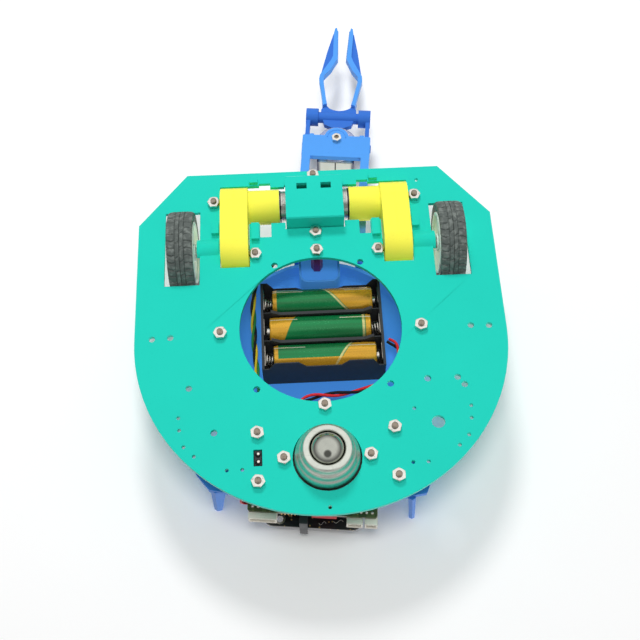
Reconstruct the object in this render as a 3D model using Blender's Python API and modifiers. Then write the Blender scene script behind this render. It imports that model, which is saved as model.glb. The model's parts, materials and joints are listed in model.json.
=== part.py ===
"""A line follower robot with a gripper, standing on its two wheels and its ball caster.

The robot drives along +Y, so the gripper is at the front and the ball caster at the rear. Lengths in
this file are millimetres, and the helpers turn them into Blender's metres. The chassis is drawn about
the axis of its round battery opening. The upper deck, which carries the gripper and the circuit boards,
is drawn about its own centre line, and it stands a few degrees round from the chassis.
"""

import math

import bmesh
import bpy
from mathutils import Matrix, Vector

MM = 0.001
# Outlines are filled at this angle, so that no two corners are level
FILL_TURN = Matrix.Rotation(0.731, 3, "Z")
FIT = 0.3  # clearance between two pieces that rest on each other

# Chassis plate
PLATE_LOW, PLATE_HIGH = 16.0, 18.0
PLATE_HALF_WIDTH = 86.0
PLATE_FRONT = 88.5
PLATE_CORNER = (62.8, 59.6)  # where the front chamfer starts, and where it ends on the side
PLATE_REAR_CENTRE = -3.8
OPENING_RADIUS = 37.6
SCREW_HOLE = 1.7

# Drive
AXLE_Y, AXLE_Z, AXLE_RADIUS = 45.6, 20.0, 2.7
TYRE_RADIUS, TYRE_IN, TYRE_OUT = 20.0, 58.4, 70.6
RIM_RADIUS = 15.0
SLOT = (56.2, 73.0, 24.9, 66.1)  # x and y limits of a wheel slot
GEARBOX_IN, GEARBOX_OUT, GEARBOX_RADIUS = 32.6, 46.0, 11.25
MOTOR_Y, MOTOR_RADIUS, SLEEVE_RADIUS, SLEEVE_END = 70.2, 7.6, 8.6, 17.2
CASE_FRONT_Y = 68.8  # centre of the gear case's front arc
TUNNEL_RADIUS = 6.0

# Ball caster
CASTER_Y, BALL_RADIUS, CASTER_HOLE = -64.0, 7.94, 15.2
CASTER_SCREW_X = 18.9

# Base dish and battery holder
DISH_FLOOR, DISH_TOP, DISH_RIM_LOW = 45.5, 47.5, 40.0
DISH_RADIUS, DISH_FLOOR_RADIUS = 49.5, 46.0
PAD_LOW, PAD_RADIUS = 31.5, 6.0
STANDOFFS = {"front": (0.0, 41.0), "rear": (0.0, -39.7), "left": (-46.4, -1.8), "right": (46.4, -1.8)}
HOLDER_CENTRE = (-1.0, 8.7)
HOLDER_SIZE = (58.4, 46.8)
HOLDER_RIM, HOLDER_TOP, HOLDER_WALL = 29.0, 45.2, 1.3
CELL_RADIUS, CELL_LENGTH, CELL_PITCH, CELL_Z = 7.1, 50.5, 15.1, 36.6

# Upper deck
DECK_SHIFT, DECK_YAW = -1.05, math.radians(6.1)
DECK_LOW, DECK_HIGH = 48.0, 51.0
DECK_RADIUS = 49.0
EAR_LOW, EAR_HIGH, LEG_END = 33.0, 36.0, 62.5
BOARD_LOW, BOARD_HIGH = 38.0, 39.6

# Gripper, about the deck's centre line
BRACKET_LOW, BRACKET_HIGH = 33.0, 36.0
ARM_IN, ARM_OUT = 13.3, 17.8
HORN_Y, HORN_RADIUS = 121.8, 10.9
TILT_Y, TILT_Z = 122.0, 41.0
TUBE_Y = 142.1
JAW_PIVOT = (6.6, 145.8)
JAW_TIP = 205.1
JAW_LOW, JAW_HIGH, EYE_LOW = 37.8, 45.4, 44.1

# The origin is at the middle of the robot's box, on the ground
REAR_END = PLATE_REAR_CENTRE - PLATE_HALF_WIDTH
FRONT_END = JAW_TIP * math.cos(DECK_YAW) + 4.4 * math.sin(DECK_YAW)
Y_CENTRE = (REAR_END + FRONT_END) / 2

# Screws that hold a piece down on the plate: the height of that piece's top face, and the places
SCREWS = {
    "cover_screw": (20.3, [(0.0, 84.9), (0.0, 51.5)]),
    "gearbox_screw": (20.8, [(49.4, 70.6), (-49.4, 70.6), (29.5, 40.2), (-29.5, 40.2)]),
    "sensor_board_screw": (23.6, [(30.2, -51.8), (-30.2, -51.8), (30.2, -74.1), (-30.2, -74.1)]),
    "caster_screw": (19.5, [(CASTER_SCREW_X, CASTER_Y), (-CASTER_SCREW_X, CASTER_Y)]),
}
NUT_FLATS, NUT_HEIGHT, SHANK_RADIUS, SCREW_END = 5.5, 2.4, 1.4, 12.2


# ---------------------------------------------------------------- helpers


def start_scene():
    for obj in list(bpy.data.objects):
        bpy.data.objects.remove(obj, do_unlink=True)
    for name in ("line_follower_robot", "cutters"):
        if name not in bpy.data.collections:
            bpy.context.scene.collection.children.link(bpy.data.collections.new(name))


def material(name, colour, roughness, metallic=0.0):
    made = bpy.data.materials.new(name)
    made.use_nodes = True
    shader = made.node_tree.nodes["Principled BSDF"]
    shader.inputs["Base Color"].default_value = (*colour, 1.0)
    shader.inputs["Roughness"].default_value = roughness
    shader.inputs["Metallic"].default_value = metallic
    made.diffuse_color = (*colour, 1.0)
    return made


def frame(name, location, parent=None, yaw=0.0):
    """An empty that its pieces are placed about, in millimetres."""
    made = bpy.data.objects.new(name, None)
    bpy.data.collections["line_follower_robot"].objects.link(made)
    made.parent = parent
    made.location = Vector(location) * MM
    made.rotation_euler = (0.0, 0.0, yaw)
    return made


def new_object(name, mesh):
    made = bpy.data.objects.new(name, mesh)
    bpy.data.collections["cutters"].objects.link(made)
    return made


def from_bmesh(name, bm):
    """An object from a bmesh in millimetres, with its faces pointing out."""
    bmesh.ops.scale(bm, vec=(MM, MM, MM), verts=bm.verts)
    bmesh.ops.recalc_face_normals(bm, faces=bm.faces)
    mesh = bpy.data.meshes.new(name)
    bm.to_mesh(mesh)
    bm.free()
    return new_object(name, mesh)


def block(low, high, bevel=0.0, segments=2):
    bm = bmesh.new()
    bmesh.ops.create_cube(bm, size=1.0)
    size = Vector(high) - Vector(low)
    middle = (Vector(high) + Vector(low)) / 2
    bmesh.ops.transform(bm, matrix=Matrix.Translation(middle) @ Matrix.Diagonal((*size, 1.0)),
                        verts=bm.verts)
    if bevel:
        bmesh.ops.bevel(bm, geom=list(bm.edges), offset=bevel, segments=segments, affect="EDGES",
                        profile=0.5)
    return from_bmesh("block", bm)


def rod(start, end, radius, sides=24, end_radius=None, turn=0.0):
    """A cylinder or cone from one point to another."""
    bm = bmesh.new()
    along = Vector(end) - Vector(start)
    last = radius if end_radius is None else end_radius
    bmesh.ops.create_cone(
        bm, cap_ends=True, segments=sides, radius1=radius, radius2=last, depth=along.length
    )
    facing = along.to_track_quat("Z", "Y").to_matrix().to_4x4()
    place = Matrix.Translation((Vector(start) + Vector(end)) / 2) @ facing
    bmesh.ops.transform(bm, matrix=place @ Matrix.Rotation(turn, 4, "Z"), verts=bm.verts)
    return from_bmesh("rod", bm)


def ball(centre, radius, around=24, rings=14):
    bm = bmesh.new()
    bmesh.ops.create_uvsphere(bm, u_segments=around, v_segments=rings, radius=radius)
    bmesh.ops.transform(bm, matrix=Matrix.Translation(centre), verts=bm.verts)
    return from_bmesh("ball", bm)


def made_mesh(obj):
    """The evaluated shape of a curve or of an object with modifiers, as a plain mesh object."""
    bpy.context.view_layer.update()
    graph = bpy.context.evaluated_depsgraph_get()
    mesh = bpy.data.meshes.new_from_object(obj.evaluated_get(graph))
    bm = bmesh.new()
    bm.from_mesh(mesh)
    bmesh.ops.remove_doubles(bm, verts=bm.verts, dist=0.001 * MM)
    bmesh.ops.recalc_face_normals(bm, faces=bm.faces)
    bm.to_mesh(mesh)
    bm.free()
    made = new_object(obj.name, mesh)
    made.matrix_world = obj.matrix_world.copy()
    bpy.data.objects.remove(obj, do_unlink=True)
    return made


def sheet(outline, low, high, holes=(), axis="Z"):
    """A flat outline with holes, filled and thickened between low and high along an axis.

    Along X the outline is given as (y, z) points, and along Y as (x, z) points.
    """
    curve = bpy.data.curves.new("sheet", "CURVE")
    curve.dimensions = "2D"
    curve.fill_mode = "BOTH"
    curve.extrude = (high - low) / 2 * MM
    for loop in (outline, *holes):
        spline = curve.splines.new("POLY")
        spline.points.add(len(loop) - 1)
        for point, (x, y) in zip(spline.points, loop):
            point.co = (*(FILL_TURN @ Vector((x, y, 0.0)) * MM), 1.0)
        spline.use_cyclic_u = True
    made = new_object("sheet", curve)
    middle = (high + low) / 2 * MM
    if axis == "Z":
        place = Matrix.Translation((0.0, 0.0, middle))
    elif axis == "X":
        place = Matrix.Translation((middle, 0.0, 0.0)) @ Matrix.Rotation(math.pi / 2, 4, "Z")
    else:
        place = Matrix.Translation((0.0, middle, 0.0))
    if axis != "Z":
        place = place @ Matrix.Rotation(math.pi / 2, 4, "X")
    made.matrix_world = place @ FILL_TURN.to_4x4().inverted()
    return made_mesh(made)


def turned(profile, sides, centre=(0.0, 0.0, 0.0), along="Z"):
    """A closed profile of (radius, height) points swept round an axis through a point."""
    mesh = bpy.data.meshes.new("turned")
    points = [(r * MM, 0.0, z * MM) for r, z in profile]
    edges = [(i, (i + 1) % len(points)) for i in range(len(points))]
    if profile[0][0] == 0.0 and profile[-1][0] == 0.0:
        edges.pop()
    mesh.from_pydata(points, edges, [])
    made = new_object("turned", mesh)
    screw = made.modifiers.new("turn", "SCREW")
    screw.steps = sides
    screw.render_steps = sides
    screw.use_merge_vertices = True
    screw.merge_threshold = 0.00001
    made = made_mesh(made)
    if along == "X":
        made.data.transform(Matrix.Rotation(math.pi / 2, 4, "Y"))
    made.data.transform(Matrix.Translation(Vector(centre) * MM))
    return made


def boolean(obj, other, operation):
    """Leaves a Boolean on obj, with the other object as its hidden operand."""
    other.hide_render = True
    other.display_type = "WIRE"
    modifier = obj.modifiers.new(operation.lower(), "BOOLEAN")
    modifier.operation = operation
    modifier.object = other
    modifier.solver = "EXACT"
    return obj


def join(first, *others):
    for other in others:
        boolean(first, other, "UNION")
    return first


def cut(first, *others):
    for other in others:
        boolean(first, other, "DIFFERENCE")
    return first


def family(obj):
    """The object and every operand of its Booleans, one level inside another."""
    yield obj
    for modifier in obj.modifiers:
        if modifier.type == "BOOLEAN":
            yield from family(modifier.object)


def settle(obj, matrix):
    """Moves a shape and its operands by a matrix, which goes into their meshes."""
    bpy.context.view_layer.update()
    for each in list(family(obj)):
        each.data.transform(matrix @ each.matrix_world)
        each.matrix_world = Matrix.Identity(4)
        if matrix.determinant() < 0:
            each.data.flip_normals()


def mirror(obj):
    """Turns a shape made at +X into its mirror image at -X."""
    settle(obj, Matrix.Diagonal((-1.0, 1.0, 1.0, 1.0)))
    return obj


def piece(name, obj, parent, finish, pivot=(0.0, 0.0, 0.0), smooth=35.0):
    """Makes a shape the named sub-part, with its origin at the pivot, in its parent frame."""
    settle(obj, Matrix.Translation(-Vector(pivot) * MM))
    for number, operand in enumerate(list(family(obj))[1:]):
        operand.parent = obj
        operand.name = f"{name}_operand_{number}"
    obj.parent = parent
    obj.location = Vector(pivot) * MM
    obj.name = name
    obj.data.name = name
    obj.data.materials.clear()
    obj.data.materials.append(finish)
    for each in family(obj):
        each.data.shade_smooth()
        each.data.set_sharp_from_angle(angle=math.radians(smooth))
    bpy.data.collections["cutters"].objects.unlink(obj)
    bpy.data.collections["line_follower_robot"].objects.link(obj)
    return obj


def circle(x, y, radius, sides=16, turn=0.0):
    step = 2 * math.pi / sides
    return [(x + radius * math.cos(turn + i * step),
             y + radius * math.sin(turn + i * step)) for i in range(sides)]


def arc(x, y, radius, first, last, steps):
    """Points along an arc, with its angles in degrees."""
    angles = [math.radians(first + (last - first) * i / steps) for i in range(steps + 1)]
    return [(x + radius * math.cos(a), y + radius * math.sin(a)) for a in angles]


def loft(lower, upper, low, high):
    """A solid between two outlines with the same number of points, at two heights."""
    bm = bmesh.new()
    rings = [[bm.verts.new((x, y, z)) for x, y in outline] for outline,
             z in ((lower, low), (upper, high))]
    bm.faces.new(rings[0])
    bm.faces.new(rings[1])
    for i in range(len(lower)):
        j = (i + 1) % len(lower)
        bm.faces.new((rings[0][i], rings[0][j], rings[1][j], rings[1][i]))
    return from_bmesh("loft", bm)


def rectangle(low_x, high_x, low_y, high_y):
    return [(low_x, low_y), (high_x, low_y), (high_x, high_y), (low_x, high_y)]


def rounded(low_x, high_x, low_y, high_y, radius, steps=4):
    corners = ((high_x - radius, high_y - radius, 0), (low_x + radius, high_y - radius, 90),
               (low_x + radius, low_y + radius, 180), (high_x - radius, low_y + radius, 270))
    return [point for x, y, turn in corners for point in arc(x, y, radius, turn, turn + 90, steps)]


def smooth_route(points, spacing):
    """Evenly spaced points along a smooth curve through the route's own points."""
    knots = [Vector(p) for p in points]
    knots = [2 * knots[0] - knots[1], *knots, 2 * knots[-1] - knots[-2]]
    fine = []
    for a, b, c, d in zip(knots, knots[1:], knots[2:], knots[3:]):
        for i in range(20):
            t = i / 20
            fine.append(0.5 * (2 * b + (c - a) * t + (2 * a - 5 * b + 4 * c - d) * t**2
                               + (3 * b - a - 3 * c + d) * t**3))
    fine.append(knots[-2])
    even, carried = [fine[0]], 0.0
    for start, end in zip(fine, fine[1:]):
        carried += (end - start).length
        if carried >= spacing:
            even.append(end)
            carried = 0.0
    if (even[-1] - fine[-1]).length > spacing / 3:
        even.append(fine[-1])
    else:
        even[-1] = fine[-1]
    return even


def cable(name, points, radius, parent, finish):
    """A plain tube along a smooth route."""
    curve = bpy.data.curves.new(name, "CURVE")
    curve.dimensions = "3D"
    curve.bevel_depth = radius * MM
    curve.bevel_resolution = 2
    curve.use_fill_caps = True
    route = smooth_route(points, 2.5 * radius * 2)
    spline = curve.splines.new("POLY")
    spline.points.add(len(route) - 1)
    for point, place in zip(spline.points, route):
        point.co = (*(place * MM), 1.0)
    return piece(name, made_mesh(new_object(name, curve)), parent, finish)


# ---------------------------------------------------------------- chassis


def plate_outline():
    corner_x, corner_y = PLATE_CORNER
    rear = arc(0.0, PLATE_REAR_CENTRE, PLATE_HALF_WIDTH, 180, 360, 46)
    front = [(PLATE_HALF_WIDTH, corner_y), (corner_x, PLATE_FRONT), (-corner_x, PLATE_FRONT),
             (-PLATE_HALF_WIDTH, corner_y)]
    return rear + front


def motor_window():
    """The stepped window that the motors and gearboxes hang through: its right half, mirrored."""
    right = [(14.5, 54.6), (14.5, 58.2), (21.5, 58.2), (21.5, 50.3), (27.0, 50.3), (27.0, 58.2),
             (32.2, 58.2),
             (32.2, 33.8), (46.4, 33.8), (46.4, 80.6), (27.0, 80.6), (27.0, 81.9), (21.5, 81.9),
             (21.5, 79.4),
             (14.5, 79.4), (14.5, 80.5)]
    return right + [(-x, y) for x, y in reversed(right)]


def plate_holes():
    """The plain holes in the plate: those on both sides, and those on one side only."""
    both = {1.6: [(20.5, 34.1), (30.1, -30.3)],
            1.5: [(77.9, -2.9), (69.5, -2.5), (60.6, -28.5)],
            0.9: [(37.0, -68.0), (43.7, -68.0), (58.0, -61.0), (62.6, -56.4), (64.6, -48.5),
                  (65.1, -42.6)]}
    one = {1.6: [(49.3, -50.4), (-47.0, -28.5)], 1.5: [(-63.4, -32.2)], 3.0: [(-49.8, -49.7)],
           0.9: [(0.0, -86.4), (-51.5, 80.5), (-39.7, -42.8)]}
    for radius, places in both.items():
        for x, y in places:
            yield circle(x, y, radius, 8 if radius > 1 else 6)
            yield circle(-x, y, radius, 8 if radius > 1 else 6)
    for radius, places in one.items():
        for x, y in places:
            yield circle(x, y, radius, 14 if radius > 2 else 8)


def screw_places():
    return [place for kind in SCREWS.values() for place in kind[1]]


def chassis_plate(root, teal):
    low_x, high_x, low_y, high_y = SLOT
    holes = [circle(0.0, 0.0, OPENING_RADIUS, 56), circle(0.0, CASTER_Y, CASTER_HOLE, 32), motor_window(),
             rectangle(28.3, 32.1, -66.7, -59.1), rectangle(low_x, high_x, low_y, high_y),
             rectangle(-high_x, -low_x, low_y, high_y)]
    holes += list(plate_holes())
    holes += [circle(x, y, SCREW_HOLE, 6) for x, y in (*screw_places(), *STANDOFFS.values())]
    plate = sheet(plate_outline(), PLATE_LOW, PLATE_HIGH, holes)
    for side in (-1, 1):
        tunnel = rod((side * 46.9, AXLE_Y, AXLE_Z), (side * 57.6, AXLE_Y, AXLE_Z), TUNNEL_RADIUS, 24)
        cut(tunnel, block((side * 51 - 10, 30, 17.0), (side * 51 + 10, 60, 30)))
        join(plate, tunnel)
        for near, far, rear, front in ((46.9, 50.5, 52.2, 59.0), (27.4, 31.2, 48.2, 57.5),
                                       (27.6, 31.8, 81.2, 84.0)):
            start, end = sorted((side * near, side * far))
            join(plate, block((start, rear, PLATE_LOW - 2.4), (end, front, PLATE_LOW + 1.0)))
        cut(plate, rod((side * 46.0, AXLE_Y, AXLE_Z), (side * 58, AXLE_Y, AXLE_Z), AXLE_RADIUS + 0.5, 20))
    return piece("chassis_plate", plate, root, teal)


def nut(x, y, top, turn):
    """A hex nut with its upper face at a height."""
    return rod((x, y, top - NUT_HEIGHT), (x, y, top), NUT_FLATS / math.sqrt(3), 6, turn=turn)


def fasteners(root, steel):
    """Each screw with its nut below the plate. Those of the sensor board also carry its spacers."""
    for kind, (seat, places) in SCREWS.items():
        for number, (x, y) in enumerate(places, 1):
            shank = rod((x, y, SCREW_END), (x, y, seat + 1.0), SHANK_RADIUS, 8)
            head = rod((x, y, seat + 0.2), (x, y, seat + 2.2), 2.8, 10, end_radius=2.0)
            turn = 0.0 if kind == "gearbox_screw" else math.radians(23 * number)
            join(shank, head, nut(x, y, PLATE_LOW - 0.2, turn))
            if kind == "sensor_board_screw":
                join(shank, rod((x, y, PLATE_HIGH + FIT), (x, y, 21.7), 2.6, 8))
            piece(f"{kind}_{number}", shank, root, steel)


def standoffs(root, violet):
    """Hex pillars between plate and dish, each with a stud and a nut below the plate."""
    for number, (name, (x, y)) in enumerate(STANDOFFS.items()):
        pillar = rod((x, y, PLATE_HIGH + FIT), (x, y, PAD_LOW - FIT), 5.0 / math.sqrt(3), 6)
        stud = rod((x, y, SCREW_END), (x, y, PLATE_HIGH + 2.0), SHANK_RADIUS, 8)
        join(pillar, stud, nut(x, y, PLATE_LOW - 0.2, math.radians(17 * number + 7)))
        piece(f"standoff_{name}", pillar, root, violet)


# ---------------------------------------------------------------- drive


def motor_cover(root, teal):
    """A hat-shaped cover: its crown hangs through the window, and its flanges lie on top of the plate."""
    crown = sheet([(55.0, 19.0), (55.0, 8.1), (55.6, 7.5), (79.4, 7.5), (80.0, 8.1), (80.0, 19.0)], -14.0,
                  14.0,
                  axis="X")
    inside = sheet([(57.0, 30.0), (57.0, 10.2), (57.6, 9.6), (77.4, 9.6), (78.0, 10.2), (78.0, 30.0)],
                   -15.0, 15.0,
                   axis="X")
    holes = [circle(x, y, SCREW_HOLE, 6) for x, y in SCREWS["cover_screw"][1]]
    join(crown, sheet(rounded(-13.9, 13.9, 48.2, 88.5, 3.0), 18.3, 20.3, holes))
    cut(crown, inside, block((-8.4, 72.0, 5.0), (-3.4, 75.4, 12.0)),
        block((3.4, 72.0, 5.0), (8.4, 75.4, 12.0)))
    return piece("motor_cover", crown, root, teal)


def gearbox(name, side, root, yellow):
    """The yellow housing: gear case, motor sleeve, two screw lugs, axle bore and motor bore."""
    start, end = sorted((side * GEARBOX_IN, side * GEARBOX_OUT))
    outline = arc(AXLE_Y, AXLE_Z, GEARBOX_RADIUS, 90, 270, 10)
    outline += arc(CASE_FRONT_Y, AXLE_Z, GEARBOX_RADIUS, -90, 90, 10)
    case = sheet(outline, start, end, axis="X")
    join(case, rod((side * SLEEVE_END, MOTOR_Y, AXLE_Z), (side * (GEARBOX_IN + 2), MOTOR_Y, AXLE_Z),
                   SLEEVE_RADIUS, 24))
    places = [place for place in SCREWS["gearbox_screw"][1] if place[0] * side > 0]
    for (x, y), reach in zip(places, (43.4, 34.4)):
        start, end = sorted((x + math.copysign(3.4, abs(x) - abs(reach)) * side, side * reach))
        join(case, sheet(rounded(start, end, y - 3.8, y + 3.8, 1.5, 2), 18.3, 20.8))
        cut(case, rod((x, y, 10), (x, y, 30), SCREW_HOLE, 6))
    cut(case, rod((side * 30, AXLE_Y, AXLE_Z), (side * 50, AXLE_Y, AXLE_Z), AXLE_RADIUS + FIT, 20),
        rod((side * 10, MOTOR_Y, AXLE_Z), (side * 29.0, MOTOR_Y, AXLE_Z), MOTOR_RADIUS + 0.25, 24))
    return piece(name, case, root, yellow)


def motor(name, side, root, steel):
    """A small can motor and its end cap, lying in the sleeve."""
    can = rod((side * 3.2, MOTOR_Y, AXLE_Z), (side * 28.6, MOTOR_Y, AXLE_Z), MOTOR_RADIUS, 24)
    join(can, rod((side * 0.8, MOTOR_Y, AXLE_Z), (side * 4.0, MOTOR_Y, AXLE_Z), MOTOR_RADIUS - 1.2, 16))
    return piece(name, can, root, steel)


def wheel(name, side, root, steel, grey, rubber):
    """A wheel on its axle. All three pieces turn about the axle's frame."""
    axle_frame = frame(f"axle_frame_{name}", (0.0, AXLE_Y, AXLE_Z), root)
    axle = rod((33.4, 0, 0), (68.6, 0, 0), AXLE_RADIUS, 20)
    cut(axle, block((50.0, 1.9, -4), (72, 6, 4)), block((50.0, -6, -4), (72, -1.9, 4)))

    half, bore = (TYRE_OUT - TYRE_IN) / 2, AXLE_RADIUS + FIT
    profile = [(bore, half - 1.2), (4.8, half - 1.2), (4.8, half - 6.4), (12.4, half - 6.4),
               (13.4, half - 0.4),
               (RIM_RADIUS, half), (RIM_RADIUS, -half), (13.4, -half), (13.0, 0.9 - half),
               (4.2, 0.9 - half),
               (4.2, -half), (bore, -half)]
    rim = turned(profile, 30, (TYRE_IN + half, 0.0, 0.0), along="X")
    for i in range(5):
        angle = math.radians(90 + 72 * i)
        y, z = 8.6 * math.cos(angle), 8.6 * math.sin(angle)
        cut(rim, rod((TYRE_IN + half - 0.2, y, z), (TYRE_OUT + 2, y, z), 2.9, 10))

    inner, outer = RIM_RADIUS + FIT, TYRE_RADIUS
    profile = [(outer, half - 2.0), (outer, 2.0 - half), (outer - 0.5, 0.7 - half), (outer - 1.6, -half),
               (inner, 0.1 - half), (inner, half - 0.1), (outer - 1.6, half), (outer - 0.5, half - 0.7)]
    tyre = turned(profile, 38, (TYRE_IN + half, 0.0, 0.0), along="X")

    for part, shape, finish in (("axle", axle, steel), ("rim", rim, grey), ("tyre", tyre, rubber)):
        piece(f"{part}_{name}", mirror(shape) if side < 0 else shape, axle_frame, finish)


# ---------------------------------------------------------------- ball caster


def caster(root, steel, bright):
    """A pressed cup with two steps that hangs through the plate, on a flange with two ears."""
    profile = [(0.0, 19.9), (14.3, 19.9), (14.3, 13.2), (13.8, 10.2), (12.4, 7.6), (11.2, 7.5),
               (10.8, 5.0),
               (10.0, 4.0), (7.6, 4.0), (8.5, 6.4), (8.5, 17.4), (0.0, 17.4)]
    cup = turned(profile, 28, (0.0, CASTER_Y, 0.0))
    reach = CASTER_SCREW_X
    ears = (arc(reach, CASTER_Y, 4.0, -62, 62, 6) + arc(0.0, CASTER_Y, 17.2, 40, 140, 8)
            + arc(-reach, CASTER_Y, 4.0, 118, 242, 6) + arc(0.0, CASTER_Y, 17.2, 220, 320, 8))
    holes = [circle(side * reach, CASTER_Y, SCREW_HOLE, 6) for side in (-1, 1)]
    piece("caster_housing", join(sheet(ears, 18.3, 19.5, holes), cup), root, steel)
    pivot = (0.0, CASTER_Y, BALL_RADIUS)
    piece("caster_ball", ball(pivot, BALL_RADIUS), root, bright, pivot=pivot)


# ---------------------------------------------------------------- base dish and batteries


def base_dish(root, blue):
    """A shallow dish, open to the ground, whose pads stand on the four standoffs."""
    rim = DISH_RADIUS
    profile = [(0.0, DISH_TOP), (rim - 1.5, DISH_TOP), (rim, DISH_TOP - 1.5), (rim, DISH_RIM_LOW),
               (rim - 1.6, DISH_RIM_LOW), (rim - 2.2, DISH_FLOOR - 1.6), (DISH_FLOOR_RADIUS, DISH_FLOOR),
               (0.0, DISH_FLOOR)]
    dish = turned(profile, 40)
    for name, (x, y) in STANDOFFS.items():
        if name != "front":
            join(dish, rod((x, y, PAD_LOW), (x, y, DISH_TOP - 0.6), PAD_RADIUS, 16))
    join(dish, sheet(rounded(-11.3, 8.9, 32.6, 46.4, 4.5, 4), PAD_LOW, DISH_FLOOR + 1.0))
    cut(dish, rod((0, 0, 40), (0, 0, 50), 2.4, 16))
    return piece("base_dish", dish, root, blue)


def battery_holder(root, black):
    """An open box for three cells, with long walls cut down in steps and two ribs between the cells."""
    length, width = HOLDER_SIZE
    x, y = HOLDER_CENTRE
    low_x, high_x, low_y, high_y = x - length / 2, x + length / 2, y - width / 2, y + width / 2
    floor = block((low_x, low_y, HOLDER_TOP - HOLDER_WALL), (high_x, high_y, HOLDER_TOP))
    parts = []
    for y_low, y_high, shoulder, dip in ((low_y + 0.1, low_y + 0.6, 23.2, 27.8),
                                         (high_y - 0.6, high_y - 0.1, 34.6, 36.8)):
        wall = [(low_x + 0.2, HOLDER_TOP - 1.0), (low_x + 0.2, HOLDER_RIM + 0.2),
                (low_x + 3.4, HOLDER_RIM + 0.2),
                (low_x + 6.4, shoulder), (low_x + 17.4, shoulder), (low_x + 21.0, dip),
                (high_x - 21.0, dip),
                (high_x - 17.4, shoulder), (high_x - 6.4, shoulder), (high_x - 3.4, HOLDER_RIM + 0.2),
                (high_x - 0.2, HOLDER_RIM + 0.2), (high_x - 0.2, HOLDER_TOP - 1.0)]
        parts.append(sheet(wall, y_low, y_high, axis="Y"))
    for start, end in ((low_x + 0.1, low_x + HOLDER_WALL), (high_x - HOLDER_WALL, high_x - 0.1)):
        parts.append(block((start, low_y + 0.3, HOLDER_RIM), (end, high_y - 0.3, HOLDER_TOP - 0.5)))
    rib = [(low_x + 0.8, HOLDER_TOP - 0.8), (low_x + 0.8, 30.4), (low_x + 4.6, 30.4), (low_x + 9.0, 32.6),
           (high_x - 9.0, 32.6), (high_x - 4.6, 30.4), (high_x - 0.8, 30.4),
           (high_x - 0.8, HOLDER_TOP - 0.8)]
    crest = [(low_x + 4.8, 33.2), (low_x + 4.8, 28.8), (low_x + 9.2, 31.6), (high_x - 9.2, 31.6),
             (high_x - 4.8, 28.8), (high_x - 4.8, 33.2)]
    for side in (-0.5, 0.5):
        middle = y + side * CELL_PITCH
        parts.append(sheet(rib, middle - 0.22, middle + 0.22, axis="Y"))
        parts.append(sheet(crest, middle - 0.75, middle + 0.75, axis="Y"))
    return piece("battery_holder", join(floor, *parts), root, black)


def cells(root, gold):
    """Three AA cells, the middle one the other way round. Each one's nub points away from its spring."""
    half = CELL_LENGTH / 2
    profile = [(0.0, half), (2.7, half), (2.7, half - 1.3), (5.6, half - 1.3), (CELL_RADIUS, half - 2.0),
               (CELL_RADIUS, 0.4 - half), (CELL_RADIUS - 0.6, -half), (0.0, -half)]
    for number, name in enumerate(("front", "middle", "rear")):
        x, y = HOLDER_CENTRE
        cell = turned(profile, 20, along="X")
        shift = 1.6
        if name != "middle":
            mirror(cell)
            shift = -1.6
        settle(cell, Matrix.Translation(Vector((x + shift, y + (1 - number) * CELL_PITCH, CELL_Z)) * MM))
        piece(f"cell_{name}", cell, root, gold)


def line_sensor(root, black, green):
    """The reflective sensor that looks down through the plate's window, and its board on four spacers."""
    holes = [circle(x, y, SCREW_HOLE, 6) for x, y in SCREWS["sensor_board_screw"][1]]
    holes.append(rectangle(-25.0, 25.0, -75.5, -50.5))
    piece("sensor_board", sheet(rounded(-35.0, 35.0, -79.0, -47.2, 2.5), 22.0, 23.6, holes), root, green)
    body = block((28.7, -66.3, 16.6), (31.7, -59.5, 21.7))
    piece("line_sensor", join(body, block((27.4, -67.6, 18.4), (33.0, -58.2, 21.7))), root, black)


# ---------------------------------------------------------------- upper deck


def upper_deck(deck, blue):
    """A disc over the dish, with two rails to the front, a tongue to the rear, and an arm to each leg."""
    plate = sheet(circle(0.0, 0.0, DECK_RADIUS, 48), DECK_LOW, DECK_HIGH, [circle(0.0, 0.0, 2.4, 16)])
    arm = [(22.0, -38.0), (36.0, -28.0), (47.0, -54.0), (47.0, -65.0), (39.5, -65.0), (35.0, -56.0),
           (22.0, -50.0)]
    for side in (-1, 1):
        start, end = sorted((side * ARM_IN, side * ARM_OUT))
        join(plate, block((start, 38.0, DECK_LOW), (end, 58.0, DECK_HIGH)),
             sheet([(side * x, y) for x, y in arm], DECK_LOW, DECK_HIGH))
    join(plate, block((-25.0, -76.0, DECK_LOW), (25.0, -40.0, DECK_HIGH)))
    return piece("upper_deck", plate, deck, blue)


def rear_legs(deck, blue):
    """A low ear under each arm of the deck, and a tapered blade with a ridge that stands on it."""
    shapes = {
        "right": ([(36.5, -58.0), (50.0, -56.0), (53.1, -68.8), (46.4, -75.9), (37.8, -76.8)],
                  [(38.8, -75.8), (43.6, -76.6), (46.0, -75.2), (46.0, -71.5), (38.8, -71.5)],
                  [(42.9, -75.6), (45.2, -76.2), (46.6, -75.4), (46.6, -73.4), (42.9, -73.4)]),
        "left": ([(-36.5, -58.0), (-38.6, -74.6), (-50.5, -71.6), (-52.3, -66.4), (-50.0, -56.0)],
                 [(-45.7, -73.6), (-44.2, -74.6), (-42.2, -73.8), (-42.2, -69.8), (-45.7, -69.8)],
                 [(-47.2, -73.8), (-46.0, -74.6), (-44.5, -74.0), (-44.5, -72.0), (-47.2, -72.0)]),
    }
    for name, (ear, root_section, end_section) in shapes.items():
        column = 43.4 if name == "right" else -43.4
        leg = sheet(ear, EAR_LOW, EAR_HIGH)
        join(leg, loft(root_section, end_section, EAR_HIGH - 1.0, LEG_END),
             rod((column, -61.5, EAR_LOW + 1.0), (column, -61.5, DECK_LOW - FIT), 3.2, 16))
        piece(f"rear_leg_{name}", leg, deck, blue)


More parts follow.
